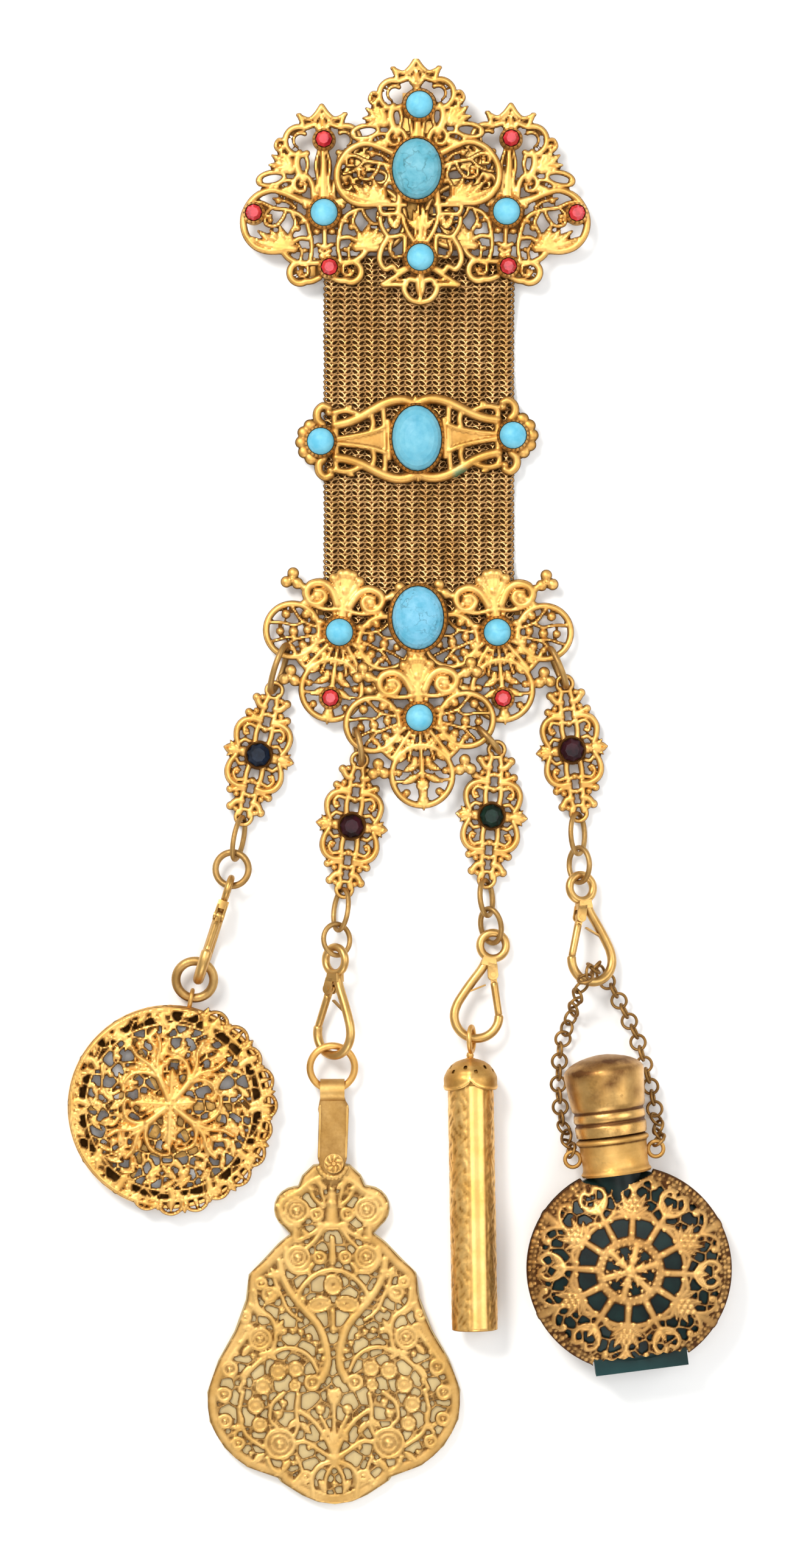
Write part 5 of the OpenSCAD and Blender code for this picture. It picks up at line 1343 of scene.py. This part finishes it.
# x, y and radius of its beads, on one side
BEADS = [(9.6, -32.5, 0.75), (7.9, -32.4, 0.75), (6.3, -32.7, 0.75), (4.8, -33.6, 0.75),
         (3.5, -34.9, 0.7), (2.6, -36.4, 0.65), (2.1, -38.0, 0.55), (9.9, -46.6, 0.9),
         (10.9, -48.8, 1.0), (2.7, -47.9, 1.1), (4.7, -21.0, 0.7), (5.8, -26.3, 0.7), (10.0, -28.4, 0.7),
         (18.2, -34.6, 0.6), (19.0, -36.8, 0.6), (15.8, -37.2, 0.7), (13.4, -37.6, 0.6),
         (17.6, -42.4, 0.7), (8.0, -58.4, 0.6), (12.9, -58.4, 0.6), (16.4, -56.4, 0.6),
         (18.6, -47.4, 0.6), (5.0, -55.4, 0.6), (3.9, -4.6, 0.6), (9.2, -5.6, 0.5)]
# x, y and radius of the petals of the flower wreath, on one side
PETALS = [(7.4, -39.9, 1.8), (10.9, -40.4, 1.9), (13.9, -43.2, 1.9), (15.4, -47.0, 1.9),
          (14.6, -50.8, 1.7), (7.6, -43.2, 1.3)]
# stems of the cover on one side: width at the start and the end, then the points
STEMS = [
    (1.0, 0.8, [(1.2, -1.8), (4.2, -3.2), (6.4, -5.0), (9.4, -6.6), (10.2, -9.0), (8.8, -11.4),
                (6.4, -11.6)]),
    (0.8, 0.6, [(2.4, -2.6), (2.0, -5.0), (1.4, -7.4)]),
    (0.8, 0.7, [(4.6, -4.0), (3.4, -6.4), (1.6, -8.0)]),
    (0.9, 0.9, [(7.4, -11.0), (7.3, -12.6), (7.4, -14.4)]),
    (0.8, 0.7, [(2.0, -11.4), (3.2, -12.8), (5.6, -14.2), (7.2, -14.6)]),
    (0.9, 0.7, [(0, -11.6), (1.8, -12.4), (3.2, -14.4), (4.8, -16.0)]),
    (0.9, 0.8, [(9.0, -16.2), (9.2, -18.6), (7.8, -20.6), (5.2, -20.8), (3.9, -19.4)]),
    (1.1, 1.3, [(10.4, -18.6), (9.9, -21.6), (8.2, -25.0), (5.4, -28.4), (2.9, -31.4), (1.6, -35.0),
                (1.2, -39.0), (2.4, -42.0)]),
    (0.8, 0.9, [(0, -20.4), (2.4, -20.9), (4.9, -22.6), (6.6, -24.9), (7.0, -27.0)]),
    (0.8, 0.6, [(11.8, -20.4), (11.2, -23.0), (10.0, -25.8), (8.6, -28.6), (6.2, -30.4)]),
    (0.9, 0.7, [(15.4, -24.4), (14.8, -27.6), (12.2, -29.8), (11.3, -32.6), (11.9, -36.0), (14.4, -37.0)]),
    (0.8, 0.7, [(12.2, -37.0), (9.8, -35.8), (7.0, -36.0), (4.6, -37.6), (3.2, -40.2)]),
    (0.9, 0.7, [(12.4, -36.6), (14.6, -38.4), (17.0, -40.8), (18.6, -44.0)]),
    (0.9, 0.8, [(16.2, -31.6), (17.6, -34.0), (19.8, -37.0), (20.8, -38.6)]),
    (0.8, 0.7, [(17.9, -44.4), (18.6, -48.6), (17.4, -52.6), (14.0, -55.2)]),
    (0.8, 0.7, [(7.0, -45.0), (7.4, -48.0), (7.2, -51.4), (8.4, -54.0)]),
    (0.8, 0.6, [(9.8, -44.6), (12.0, -46.6), (12.6, -49.6), (11.0, -51.6)]),
    (0.8, 0.8, [(0, -57.2), (1.8, -53.4), (4.0, -50.2), (6.6, -48.2)]),
    (0.7, 0.7, [(0, -56.6), (0.9, -52.8), (2.6, -49.4)]),
    (0.8, 0.8, [(0, -57.8), (2.8, -56.0), (5.6, -54.2), (7.8, -54.4)]),
    (0.9, 0.8, [(4.2, -64.8), (4.5, -61.6), (3.0, -59.0), (0, -58.0)]),
    (0.7, 0.7, [(0, -58.4), (1.6, -61.0), (1.9, -63.6)]),
    (0.7, 0.6, [(7.4, -57.4), (6.4, -60.0), (7.6, -61.8)]),
    (0.8, 0.8, [(13.2, -57.4), (12.4, -59.2), (11.2, -60.4)]),
    (0.7, 0.6, [(19.6, -52.6), (18.0, -50.2), (18.8, -47.8)])]
# x and y of the root and of the tip of its leaves, and their width, on one side
LEAVES = [(1.2, -4.4, 3.4, -2.9, 1.2), (8.6, -6.4, 6.4, -6.0, 1.3), (9.6, -9.6, 11.0, -7.4, 1.2),
          (4.6, -14.0, 6.2, -12.2, 1.2), (9.6, -21.0, 13.0, -21.6, 1.5), (10.6, -24.0, 13.6, -27.4, 1.5),
          (13.4, -29.2, 16.4, -27.0, 1.4), (15.8, -31.6, 17.6, -31.8, 1.3), (11.4, -33.4, 9.8, -30.2, 1.4),
          (13.0, -36.4, 11.0, -38.2, 1.2), (16.2, -39.4, 18.4, -41.8, 1.4), (17.8, -37.0, 16.0, -35.0, 1.2),
          (1.0, -44.0, 0.1, -47.4, 1.4), (6.4, -50.6, 4.6, -52.6, 1.3), (7.2, -50.0, 9.2, -51.4, 1.2),
          (18.0, -51.4, 20.2, -51.2, 1.2), (14.0, -56.6, 16.0, -58.2, 1.3), (8.8, -58.0, 10.6, -60.2, 1.3),
          (2.6, -53.8, 1.2, -51.4, 1.2), (3.0, -62.0, 1.6, -64.4, 1.2), (6.8, -62.0, 8.6, -62.6, 1.2)]


def book_outline():
    right = BOOK_SIDE + arc((7.0, -8.4), 4.4, 85, -55, 10) + smooth_line(BOOK_FLANK, 4).tolist()
    left = [[-p[0], p[1]] for p in right[::-1]][1:-1]
    return put(right + left, BOOK)


def notebook_cover():
    s = Stamping((-39, 13, -143, -73), 0.30, 0.30, 1.5).at(BOOK)
    edge = s.distance(book_outline()) + 0.25
    rim = np.abs(edge + 0.95) - 0.95
    s.at((BOOK[0], BOOK[1] - 33, 0))
    s.lace(0, 36, 3.7, 0.42, 0.2, 9)
    for flip in (1, -1):
        s.at(BOOK, flip)
        for w, w_end, points in STEMS:
            s.band(points, w, w_end, STEM)
        for x0, y0, x1, y1, w in LEAVES:
            s.leaf((x0, y0), (x1, y1), w, 0.46)
        for x, y, r, core in ROSETTES:
            s.bead((x, y), r + 0.35, 0.16, "flat")
            s.hoop((x, y), r, 0.7, 0.42)
            if r > 1.6:
                s.hoop((x, y), r * 0.58, 0.45, 0.34)
            s.bead((x, y), core, 0.58)
        for x, y, r in BEADS:
            s.bead((x, y), r, 0.5)
        for x, y, r in PETALS:
            s.bead((x, y), r, 0.30)
            s.hoop((x, y), r * 0.72, 0.5, 0.44)
            s.bead((x, y), 0.35, 0.50)
    s.at(BOOK)
    # a knot of three petals with a row of beads over it
    for c, a, b, turn in (((0.1, -23.4), 1.9, 2.1, 0), ((-2.6, -27.2), 2.5, 1.6, 12),
                          ((2.8, -27.2), 2.5, 1.6, -12)):
        s.band(oval(c, a * 0.5, b * 0.5, turn), 1.7, rise=0.28, kind="flat", closed=True)
        s.band(oval(c, a * 0.86, b * 0.86, turn), 0.5, rise=0.45, closed=True)
    for k in range(5):
        s.bead((-2.2 + 1.1 * k, -27.2), 0.32, 0.5)
    # the middle line
    for y0, y1, w0, w1, rise in ((-5.6, -11.4, 1.3, 2.0, 0.34), (-14.2, -18.8, 0.9, 1.2, STEM),
                                 (-28.6, -32.6, 0.8, 0.7, STEM), (-44.6, -48.0, 1.2, 0.8, STEM),
                                 (-48.0, -57.4, 0.7, 0.9, STEM)):
        s.band([[0, y0], [0, y1]], w0, w1, rise)
    for x, y, r in ((0, -4.6, 0.6), (0, -7.4, 1.1), (0.1, -32.2, 0.9), (0, -57.6, 1.5), (0, -62.6, 0.8)):
        s.bead((x, y), r, 0.5)
    s.band([[-2.6, -11.6], [0, -12.0], [2.6, -11.6]], 1.1, 1.1, STEM)
    s.band([[-6.4, -63.0], [-3.2, -65.0], [0, -65.6], [3.2, -65.0], [6.4, -63.0]], 1.4, 1.4, 0.35, "gutter")
    plate_top = put([(0.5, 0.6)], BOOK)[0]
    s.at((0, 0, 0))
    s.bead(plate_top, 4.4, 0.25, "flat")
    s.S = np.maximum(np.minimum(s.S, rim), edge)
    raised = 0.36 + 0.22 * np.clip(-rim / 0.5, 0, 1)
    s.Z = np.maximum(s.Z, np.where(rim < 0, raised, 0))
    # the rivet's hole and the flat round it
    hole = np.hypot(s.X - RIVET[0], s.Y - RIVET[1])
    s.S = np.maximum(s.S, 1.3 - hole)
    s.Z = np.where(hole < 3.3, 0.62, np.minimum(s.Z, 0.88))
    shell = Shell()
    s.mesh(shell, COVER_Z, span=0.5, tone=-0.3)
    shell.make("notebook_cover_lace", COVER_GOLD, body="notebook_cover", replaces="notebook_cover")


notebook_cover()


# Notebook strap, its ring and the rivet's head
STRAP_X = -12.9
STRAP_W = 5.8
LOOP = (-60.6, 2.6)
LOOP_R = 1.7
LOOP_W = 4.8


def strap():
    """The strap that carries the notebook, its loop round the ring above."""
    shell = Shell()
    a = np.radians(np.linspace(-100, 128, 26))
    turn = np.stack([np.sin(a), np.cos(a)], 1)
    rows = []
    x0, x1 = STRAP_X - LOOP_W / 2, STRAP_X + LOOP_W / 2
    for inner, outer in zip(turn * LOOP_R + LOOP, turn * (LOOP_R + 0.6) + LOOP):
        rows.append([(x0, *inner), (x1, *inner), (x1, *outer), (x0, *outer)])
    faces = lattice(len(rows), 4) + [(3, 2, 1, 0), tuple(len(rows) * 4 - 4 + k for k in range(4))]
    shell.add(np.array(rows).reshape(-1, 3), faces, 0.1)
    s = Stamping((-18, -8, -79, -61.4), 0.18, 0.36)
    s.band([[STRAP_X + 0.35, -64.4], [STRAP_X, -73.4]], STRAP_W, rise=0.02, kind="flat", soft=False)
    s.band([[STRAP_X, -61.9], [STRAP_X + 0.1, -64]], LOOP_W, STRAP_W, rise=0.02, kind="flat", soft=False)
    for side in (-1, 1):
        s.band([[STRAP_X + side * 2.7 + 0.3, -63.6], [STRAP_X + side * 2.7, -73.6]], 0.3, rise=0.1)
    for k in range(9):
        s.bead(compass(200 + 17.5 * k)[0] * 2.75 + [STRAP_X, -74.9], 0.62, 0.3)
    s.bead((STRAP_X, -74.8), 2.6, 0.02, "flat")
    hole = np.hypot(s.X - RIVET[0], s.Y - RIVET[1])
    s.S = np.maximum(s.S, 1.28 - hole)
    s.Z = np.minimum(s.Z, 0.62)
    s.mesh(shell, STRAP_Z, span=0.1, tone=-0.46)
    shell.make("notebook_strap_relief", COVER_GOLD, replaces="notebook_strap")


strap()
shell = Shell()
shell.place(ring_wire(4.4, 0.7, 16, 56), spin("x", 11.5) @ spin("y", 3), [-12.9, -56.04, 3.5])
shell.make("notebook_ring_wire", GOLD, replaces="notebook_ring")


def rosette():
    """The rivet's head: a small whorl of petals."""
    shell = Shell()
    a = np.linspace(0, 2 * math.pi, 56, endpoint=False)
    rows, dark = [], []
    for r, z in ((0.02, 0.34), (0.35, 0.36), (0.6, 0.18), (0.9, 0.30), (1.3, 0.32), (1.65, 0.2), (1.86, 0.02),
                 (1.9, -0.3), (1.5, -0.45), (0.02, -0.45)):
        wave = 0.5 + 0.5 * np.cos(7 * a + r * 2.2)
        deep = 0.22 * (1 - wave) if 0.6 <= r <= 1.7 else 0 * a
        wide = r * (1 - 0.08 * (1 - wave)) if r > 1.6 else r + 0 * a
        rows.append(np.stack([wide * np.cos(a), wide * np.sin(a), z - deep], 1))
        # the furrows between the petals darken: patina and painted shade
        dark.append((1 - wave) * 0.55 if 0.5 <= r <= 1.7 and z > 0 else 0.2 + 0 * a)
    shell.add(np.concatenate(rows) + [*RIVET, 5.0], lattice(len(rows), 56), np.concatenate(dark))
    shell.make("notebook_rivet_rosette", GOLD)


rosette()


# Needle case
CASE_TOP = (14.15, -54.2, 5.35)
CASE_TURN = 1.0
CASE_R = 4.55
CASE_END = 53.3


def on_case(points):
    """Points given along the case's axis, moved to where the case lies."""
    p = np.asarray(points, float)
    q = np.column_stack([p[:, 0], -p[:, 2], p[:, 1]])
    return q @ spin("z", CASE_TURN).T + CASE_TOP


def case_cap():
    """The cap: petals cut from a flat sheet that is then wrapped round a dome, over a plain plug."""
    profile = np.array([(0.0, 0.05), (1.4, 0.15), (2.7, 0.6), (3.8, 1.35), (4.6, 2.3), (4.95, 3.2),
                        (5.0, 4.3), (4.95, 5.2), (4.9, 6.1)])
    run = np.concatenate([[0], np.cumsum(np.hypot(*np.diff(profile, axis=0).T))])
    wide = 5.0
    s = Stamping((-wide * math.pi, wide * math.pi, 0.3, run[-1] + 0.2), 0.26, 0.22)
    angle = s.X / wide
    petal = np.abs(((angle - math.pi / 2) * 3 / math.pi) % 2 / 2 - 0.5) * 2
    # petals are divided by a notch before and behind each, and close in round tips
    reach = run[-1] - 2.4 * (1 - np.sqrt(np.clip(1 - (1 - petal) ** 2.2, 0, 1)))
    s.S = np.minimum(np.maximum(s.Y - reach, 0.4 - s.Y), 9)
    s.Z = s.Z + 0.22 * np.exp(-((s.Y - reach + 0.35) / 0.22) ** 2)
    s.Z = s.Z + 0.12 * np.exp(-(petal / 0.10) ** 2) * np.clip(s.Y - 2.0, 0, 1)
    for k in range(6):
        middle = ((k - 2.5) * math.pi / 3) % (2 * math.pi) - math.pi
        for du, y, r in ((-1.25, 4.4, 0.5), (1.15, 5.4, 0.42)):
            s.S = np.maximum(s.S, r - np.hypot(s.X - middle * wide - du, s.Y - y))
    shell = Shell()
    s.mesh(shell, 0.0, span=0.34, tone=-0.5)
    across, along, up = shell.verts[-1].T
    r0, z0 = np.interp(along, run, profile[:, 0]), np.interp(along, run, profile[:, 1])
    lip = 0.23 * np.clip((along - 5.4) / 1.4, 0, 1) ** 2
    radius = r0 + up * 0.7 + lip - 0.12
    theta = -across / wide
    wrapped = np.column_stack([radius * np.cos(theta), radius * np.sin(theta), z0 - 0.3 * up * (r0 < 4)])
    shell.verts[-1] = on_case(wrapped)
    plug, faces = turned([(0.0, 0.6), (2.6, 1.0), (3.9, 1.9), (4.6, 2.9), (4.68, 5.0), (4.66, 5.2),
                          (4.6, 3.25), (3.76, 3.2), (3.76, 8.1), (3.6, 8.2), (3.2, 8.2), (3.05, 8.1),
                          (3.05, 3.5), (0.0, 3.5)], 56)
    # the plug inside is darkened with painted shade and patina
    shell.add(on_case(plug), faces, 0.75)
    shell.place(ring_wire(2.45, 0.48, 12, 40), spin("y", 78), [14.4, -50.4, 5.35], patina_and_shade=0.25)
    stem, faces = turned([(0.0, -1.2), (0.6, -1.2), (0.75, -0.6), (0.62, -0.2), (1.3, 0.1), (1.5, 0.5),
                          (0.0, 0.6)], 24)
    shell.add(on_case(stem), faces, 0.3)
    shell.make("needle_case_cap_petals", CASE_GOLD, replaces="needle_case_cap")


def case_tube():
    """The tube, engraved with leaf scrolls in bands that leave one plain stripe."""
    sides, length = 110, 130
    a = np.linspace(0, 2 * math.pi, sides, endpoint=False)
    z = np.linspace(3.75, CASE_END - 0.3, length)
    A, Z = np.meshgrid(a, z)
    sx = np.sin(A) * CASE_R
    front = np.cos(A) > 0
    plain = 1 / (1 + np.exp(-(sx + 0.7) * 9)) / (1 + np.exp((sx - 2.75) * 9)) * front
    u = A * CASE_R
    swirl = np.sin(u * 2.3 + 1.6 * np.sin(Z * 1.1 + 0.7 * np.sin(u)))
    swirl = swirl * np.sin(Z * 1.9 + 1.3 * np.sin(u * 1.4 + Z * 0.4))
    fine = np.sin(u * 5.1 + 2 * np.sin(Z * 2.3)) * np.sin(Z * 4.3 + np.sin(u * 3.1))
    cut = np.clip(0.5 + 0.5 * swirl + 0.25 * fine, 0, 1) * (1 - plain)
    # lines at the stripe's edges and one along it: place, width and depth
    line = sum(deep * np.exp(-((sx - at) / wide) ** 2)
               for at, wide, deep in ((-0.7, 0.12, 1), (1.1, 0.08, 0.6), (2.75, 0.14, 1))) * front
    outer = CASE_R - 0.14 * cut - 0.06 * line
    rows = list(np.stack([outer * np.sin(A), outer * np.cos(A), Z], 2))
    # the engraving is darkened with patina and painted shade
    dark = list(0.72 * cut ** 2 + 0.4 * line)
    ends = [(CASE_R - 0.12, CASE_END - 0.12), (CASE_R - 0.5, CASE_END), (0.02, CASE_END),
            (0.02, CASE_END - 0.7), (3.85, CASE_END - 0.7), (3.85, 3.4), (CASE_R - 0.1, 3.35),
            (CASE_R - 0.02, 3.6)]
    # the ends and the inside of the tube are darkened with patina and painted shade
    for r, level in ends:
        rows.append(np.stack([r * np.sin(a), r * np.cos(a), np.full(sides, level)], 1))
        dark.append(np.full(sides, 0.7))
    shell = Shell()
    faces = [f[::-1] for f in lattice(len(rows), sides, True)]
    shell.add(on_case(np.concatenate(rows)), faces, np.concatenate(dark))
    shell.make("needle_case_tube_engraved", CASE_GOLD, body="needle_case_tube",
               replaces="needle_case_tube")


case_cap()
case_tube()


# Neck, cap and chain of the scent bottle
def on_bottle(points, upright=True):
    """Points about the bottle's neck, moved to where the bottle lies."""
    p = np.asarray(points, float)
    if upright:
        p = np.column_stack([p[:, 0], p[:, 2], -p[:, 1]])
    return p @ spin("z", BOTTLE[2]).T + [BOTTLE[0], BOTTLE[1], BOTTLE_Z]


def bottle_neck():
    shell = Shell()
    profile = [(5.14, 18.75), (6.7, 18.75), (6.95, 19.2), (6.55, 19.8), (6.45, 20.5), (6.5, 22.9),
               (6.6, 23.1), (6.6, 24.5), (6.75, 24.9), (7.1, 25.2), (7.2, 25.5), (7.05, 25.8),
               (6.6, 26.15), (5.14, 26.15)]
    verts, faces = turned(profile + profile[:1], 72)
    # darker where the profile turns in: patina and painted shade in its creases
    dark = np.repeat([0.3, 0.2, 0.0, 0.3, 0.1, 0.05, 0.1, 0.2, 0.8, 0.2, 0.0, 0.3, 0.8, 0.5, 0.3], 72)
    shell.add(on_bottle(verts), faces, dark)
    for side in (-1, 1):
        verts, faces = ring_wire(1.5, 0.4, 12, 36)
        shell.add(on_bottle(verts + [side * 8.2, 22.6, 0], False), faces, 0.3)
    shell.make("bottle_collar_turned", GOLD, replaces="bottle_collar")


CAP_FOOT = 26.35
# radius, height over the cap's foot and darkness along its outline; the darkness, deepest in the grooves, is
# patina and painted shade
CAP_PROFILE = [
    (0.02, 2.05, 0.6), (5.55, 2.05, 0.6), (5.6, 0.1, 0.6), (6.6, 0.0, 0.4), (6.85, 0.15, 0.1),
    (6.95, 0.9, 0.0), (7.0, 1.9, 0.1), (6.95, 2.2, 0.5), (6.7, 2.5, 1.0), (6.68, 2.75, 1.0),
    (6.9, 3.05, 0.6), (7.05, 3.3, 0.1), (7.0, 4.0, 0.0), (6.9, 4.5, 0.2), (6.72, 4.8, 1.0),
    (6.8, 5.05, 0.9), (7.1, 5.4, 0.3), (7.25, 6.2, 0.1), (7.45, 8.2, 0.05), (7.65, 10.4, 0.0),
    (7.82, 12.0, 0.0), (7.85, 12.6, 0.1), (7.7, 13.1, 0.35), (7.3, 13.6, 0.35), (6.6, 14.2, 0.3),
    (5.6, 14.75, 0.3), (4.4, 15.2, 0.3), (2.8, 15.6, 0.35), (1.2, 15.85, 0.45), (0.02, 15.9, 0.45)]
# angle round the cap, height, width, length and depth of its brown patches
CAP_WEAR = [(1.45, 10.6, 0.30, 1.3, 0.75), (1.05, 12.4, 0.5, 0.8, 0.6), (2.2, 12.6, 0.4, 1.0, 0.7),
            (1.9, 8.4, 0.2, 0.8, 0.4), (0.7, 9.0, 0.25, 2.0, 0.5), (2.7, 10.0, 0.3, 2.4, 0.6),
            (1.3, 14.6, 1.2, 0.6, 0.5), (1.75, 3.9, 0.3, 0.4, 0.4)]


def bottle_cap():
    shell = Shell()
    verts, faces = turned([(r, CAP_FOOT + h) for r, h, dark in CAP_PROFILE], 80)
    verts = verts * [1.006, 1, 1]
    # the profile's patina and painted shade in its grooves, to which the brown patches of wear are added
    wear = np.repeat([dark for r, h, dark in CAP_PROFILE], 80)
    turn = np.arctan2(-verts[:, 1], verts[:, 0])
    rise = verts[:, 2] - CAP_FOOT
    for at, height, wide, tall, deep in CAP_WEAR:
        wear = wear + deep * np.exp(-((turn - at) / wide) ** 2 - ((rise - height) / tall) ** 2)
    shell.add(on_bottle(verts), faces, np.clip(wear, 0, 1))
    top = CAP_FOOT + 2.6
    plug, faces = turned([(0.02, 20.5), (3.3, 20.5), (3.35, 20.6), (3.35, top), (0.02, top)], 40)
    shell.add(on_bottle(plug), faces, 0.5)
    shell.make("bottle_cap_turned", BRASS, body="bottle_cap", replaces="bottle_cap")


# the chain's route as points in mm, with its links' spacing, radius and wire
CHAIN_PATH = [(33.9, -72.1, 7.5), (33.2, -70.2, 4.2), (32.2, -66.4, 1.4), (31.5, -60, 1.35),
              (31.9, -52, 1.35), (34.2, -45.6, 2.2), (35.2, -41.7, 6.9), (36.5, -38.6, 9.15),
              (38.1, -36.5, 6.4), (38.9, -36.4, 2.8), (40.2, -37.9, 1.3), (42.4, -40.8, 1.35),
              (46.6, -49.2, 1.35), (47.8, -53, 1.35), (49.8, -60.2, 1.35), (50.8, -66, 1.6),
              (51.2, -68.4, 4.4), (51.1, -70.06, 7.5)]
CHAIN_PITCH = 2.24
CHAIN_R = 1.46
CHAIN_WIRE = 0.30


def chain():
    path = np.array(CHAIN_PATH)
    way = np.diff(path, axis=0)
    run = np.concatenate([[0], np.cumsum(np.linalg.norm(way, axis=1))])
    count = int(run[-1] / CHAIN_PITCH)
    shell = Shell()
    for k in range(count + 1):
        s = min(k * run[-1] / count, run[-1] - 0.001)
        i = max(j for j in range(len(way)) if run[j] <= s)
        d = way[i]
        c = path[i] + d * (s - run[i]) / (run[i + 1] - run[i])
        heading = math.degrees(math.atan2(d[1], d[0]))
        climb = math.degrees(math.atan2(d[2], math.hypot(d[0], d[1])))
        low = c[2] < 1.7
        # a quarter turn from link to link: nearly flat and on edge on the floor, aslant over it
        roll = (12 if low else 45) + 90 * (k % 2 == 0)
        if low:
            c = c + [0, 0, 1.8 - c[2]]
        turn = spin("z", heading) @ spin("y", -climb) @ spin("x", roll)
        shell.place(ring_wire(CHAIN_R, CHAIN_WIRE, 9, 26), turn, c, patina_and_shade=0.35)
    shell.make("bottle_chain_links", CHAIN_GOLD, replaces="bottle_chain")


bottle_neck()
bottle_cap()
chain()


# Rim and ring of the round case
def round_rim():
    profile = [(19.15, 1.1), (19.9, 1.05), (20.0, 1.3), (19.85, 1.7), (19.85, 3.5), (20.0, 3.8),
               (19.98, 4.15), (19.75, 4.4), (19.4, 4.45), (19.15, 4.3)]
    shell = Shell()
    verts, faces = turned(profile + profile[:1], 120, (ROUND[0], ROUND[1], 0))
    # the rim's side wall and inner edge are browned: patina and painted shade
    shell.add(verts, faces, np.repeat([0.8, 0.4, 0.1, 0.9, 0.9, 0.2, 0.0, 0.0, 0.1, 0.8, 0.8], 120))
    # a flange inside the rim, dark all over as painted shade
    flange = [(16.4, 1.15), (19.16, 1.15), (19.16, 1.4), (16.4, 1.4)]
    verts, faces = turned(flange + flange[:1], 96, (ROUND[0], ROUND[1], 0))
    shell.add(verts, faces, 1.0)
    lug = outward(ROUND, 90 - 11.2, 21.7)
    shell.place(ring_wire(1.7, 0.42, 12, 36), spin("z", -11.2) @ spin("y", 90), [*lug[:2], 2.9], patina_and_shade=0.2)
    shell.make("round_case_rim_turned", GOLD, replaces="round_case_rim")
    shell = Shell()
    shell.place(ring_wire(3.7, 0.9, 18, 60), spin("x", 9.3), [-39.92, -38.75, 3.5], patina_and_shade=0.15)
    shell.make("round_case_ring_wire", WORN, replaces="round_case_ring")


round_rim()


# Camera, light and floor
def area_light(name, place, size, power, colour=(1, 1, 1)):
    """A round lamp that faces the middle of the object."""
    data = bpy.data.lights.new(name, "AREA")
    data.shape = "DISK"
    data.size = size
    data.energy = power
    data.color = colour
    light = bpy.data.objects.new(name, data)
    light.location = place
    x, y, z = place
    light.rotation_euler = (math.atan2(math.hypot(x, y), z), 0, math.atan2(-y, -x) - math.pi / 2)
    bpy.context.scene.collection.objects.link(light)


area_light("key", (-0.35, 0.45, 0.75), 0.35, 7.6, (1.0, 0.98, 0.95))
area_light("fill", (0.6, 0.1, 0.6), 0.6, 2.6, (0.97, 0.98, 1.0))
area_light("low", (0.0, -0.7, 0.5), 0.5, 2.2)
area_light("top", (0.02, 0.04, 1.3), 0.5, 3.0)

world = bpy.data.worlds.new("studio")
world.use_nodes = True
sky = world.node_tree.nodes["Background"].inputs
sky["Color"].default_value = (1, 1, 1, 1)
sky["Strength"].default_value = 0.55
bpy.context.scene.world = world
bpy.context.scene.view_settings.view_transform = "Standard"
bpy.context.scene.view_settings.look = "None"

FLOOR = 1.5             # half the floor's side, m
FLOOR_DROP = 0.0001     # and how far it lies under the object
floor_mesh = bpy.data.meshes.new("floor")
floor_mesh.from_pydata([(-FLOOR, -FLOOR, 0), (FLOOR, -FLOOR, 0), (FLOOR, FLOOR, 0), (-FLOOR, FLOOR, 0)],
                       [], [(0, 1, 2, 3)])
paper = Finish("paper")
pale = paper.ramp(paper.noise(30, 3), (0.3, (0.86, 0.86, 0.85)), (0.7, (0.89, 0.89, 0.88)))
floor_mesh.materials.append(paper.surface(Base_Color=pale, Roughness=0.9))
floor = bpy.data.objects.new("floor", floor_mesh)
floor.location = (0, 0, -FLOOR_DROP)
bpy.context.scene.collection.objects.link(floor)

CAMERA_HEIGHT = 1.2     # m
VIEW_HEIGHT = 0.30912   # what the photograph's height spans on the floor, m
SENSOR = 24
data = bpy.data.cameras.new("camera")
data.sensor_fit = "VERTICAL"
data.sensor_height = SENSOR
data.lens = SENSOR * CAMERA_HEIGHT / VIEW_HEIGHT
camera = bpy.data.objects.new("camera", data)
camera.location = (0, -0.0003, CAMERA_HEIGHT)
bpy.context.scene.collection.objects.link(camera)
bpy.context.scene.camera = camera
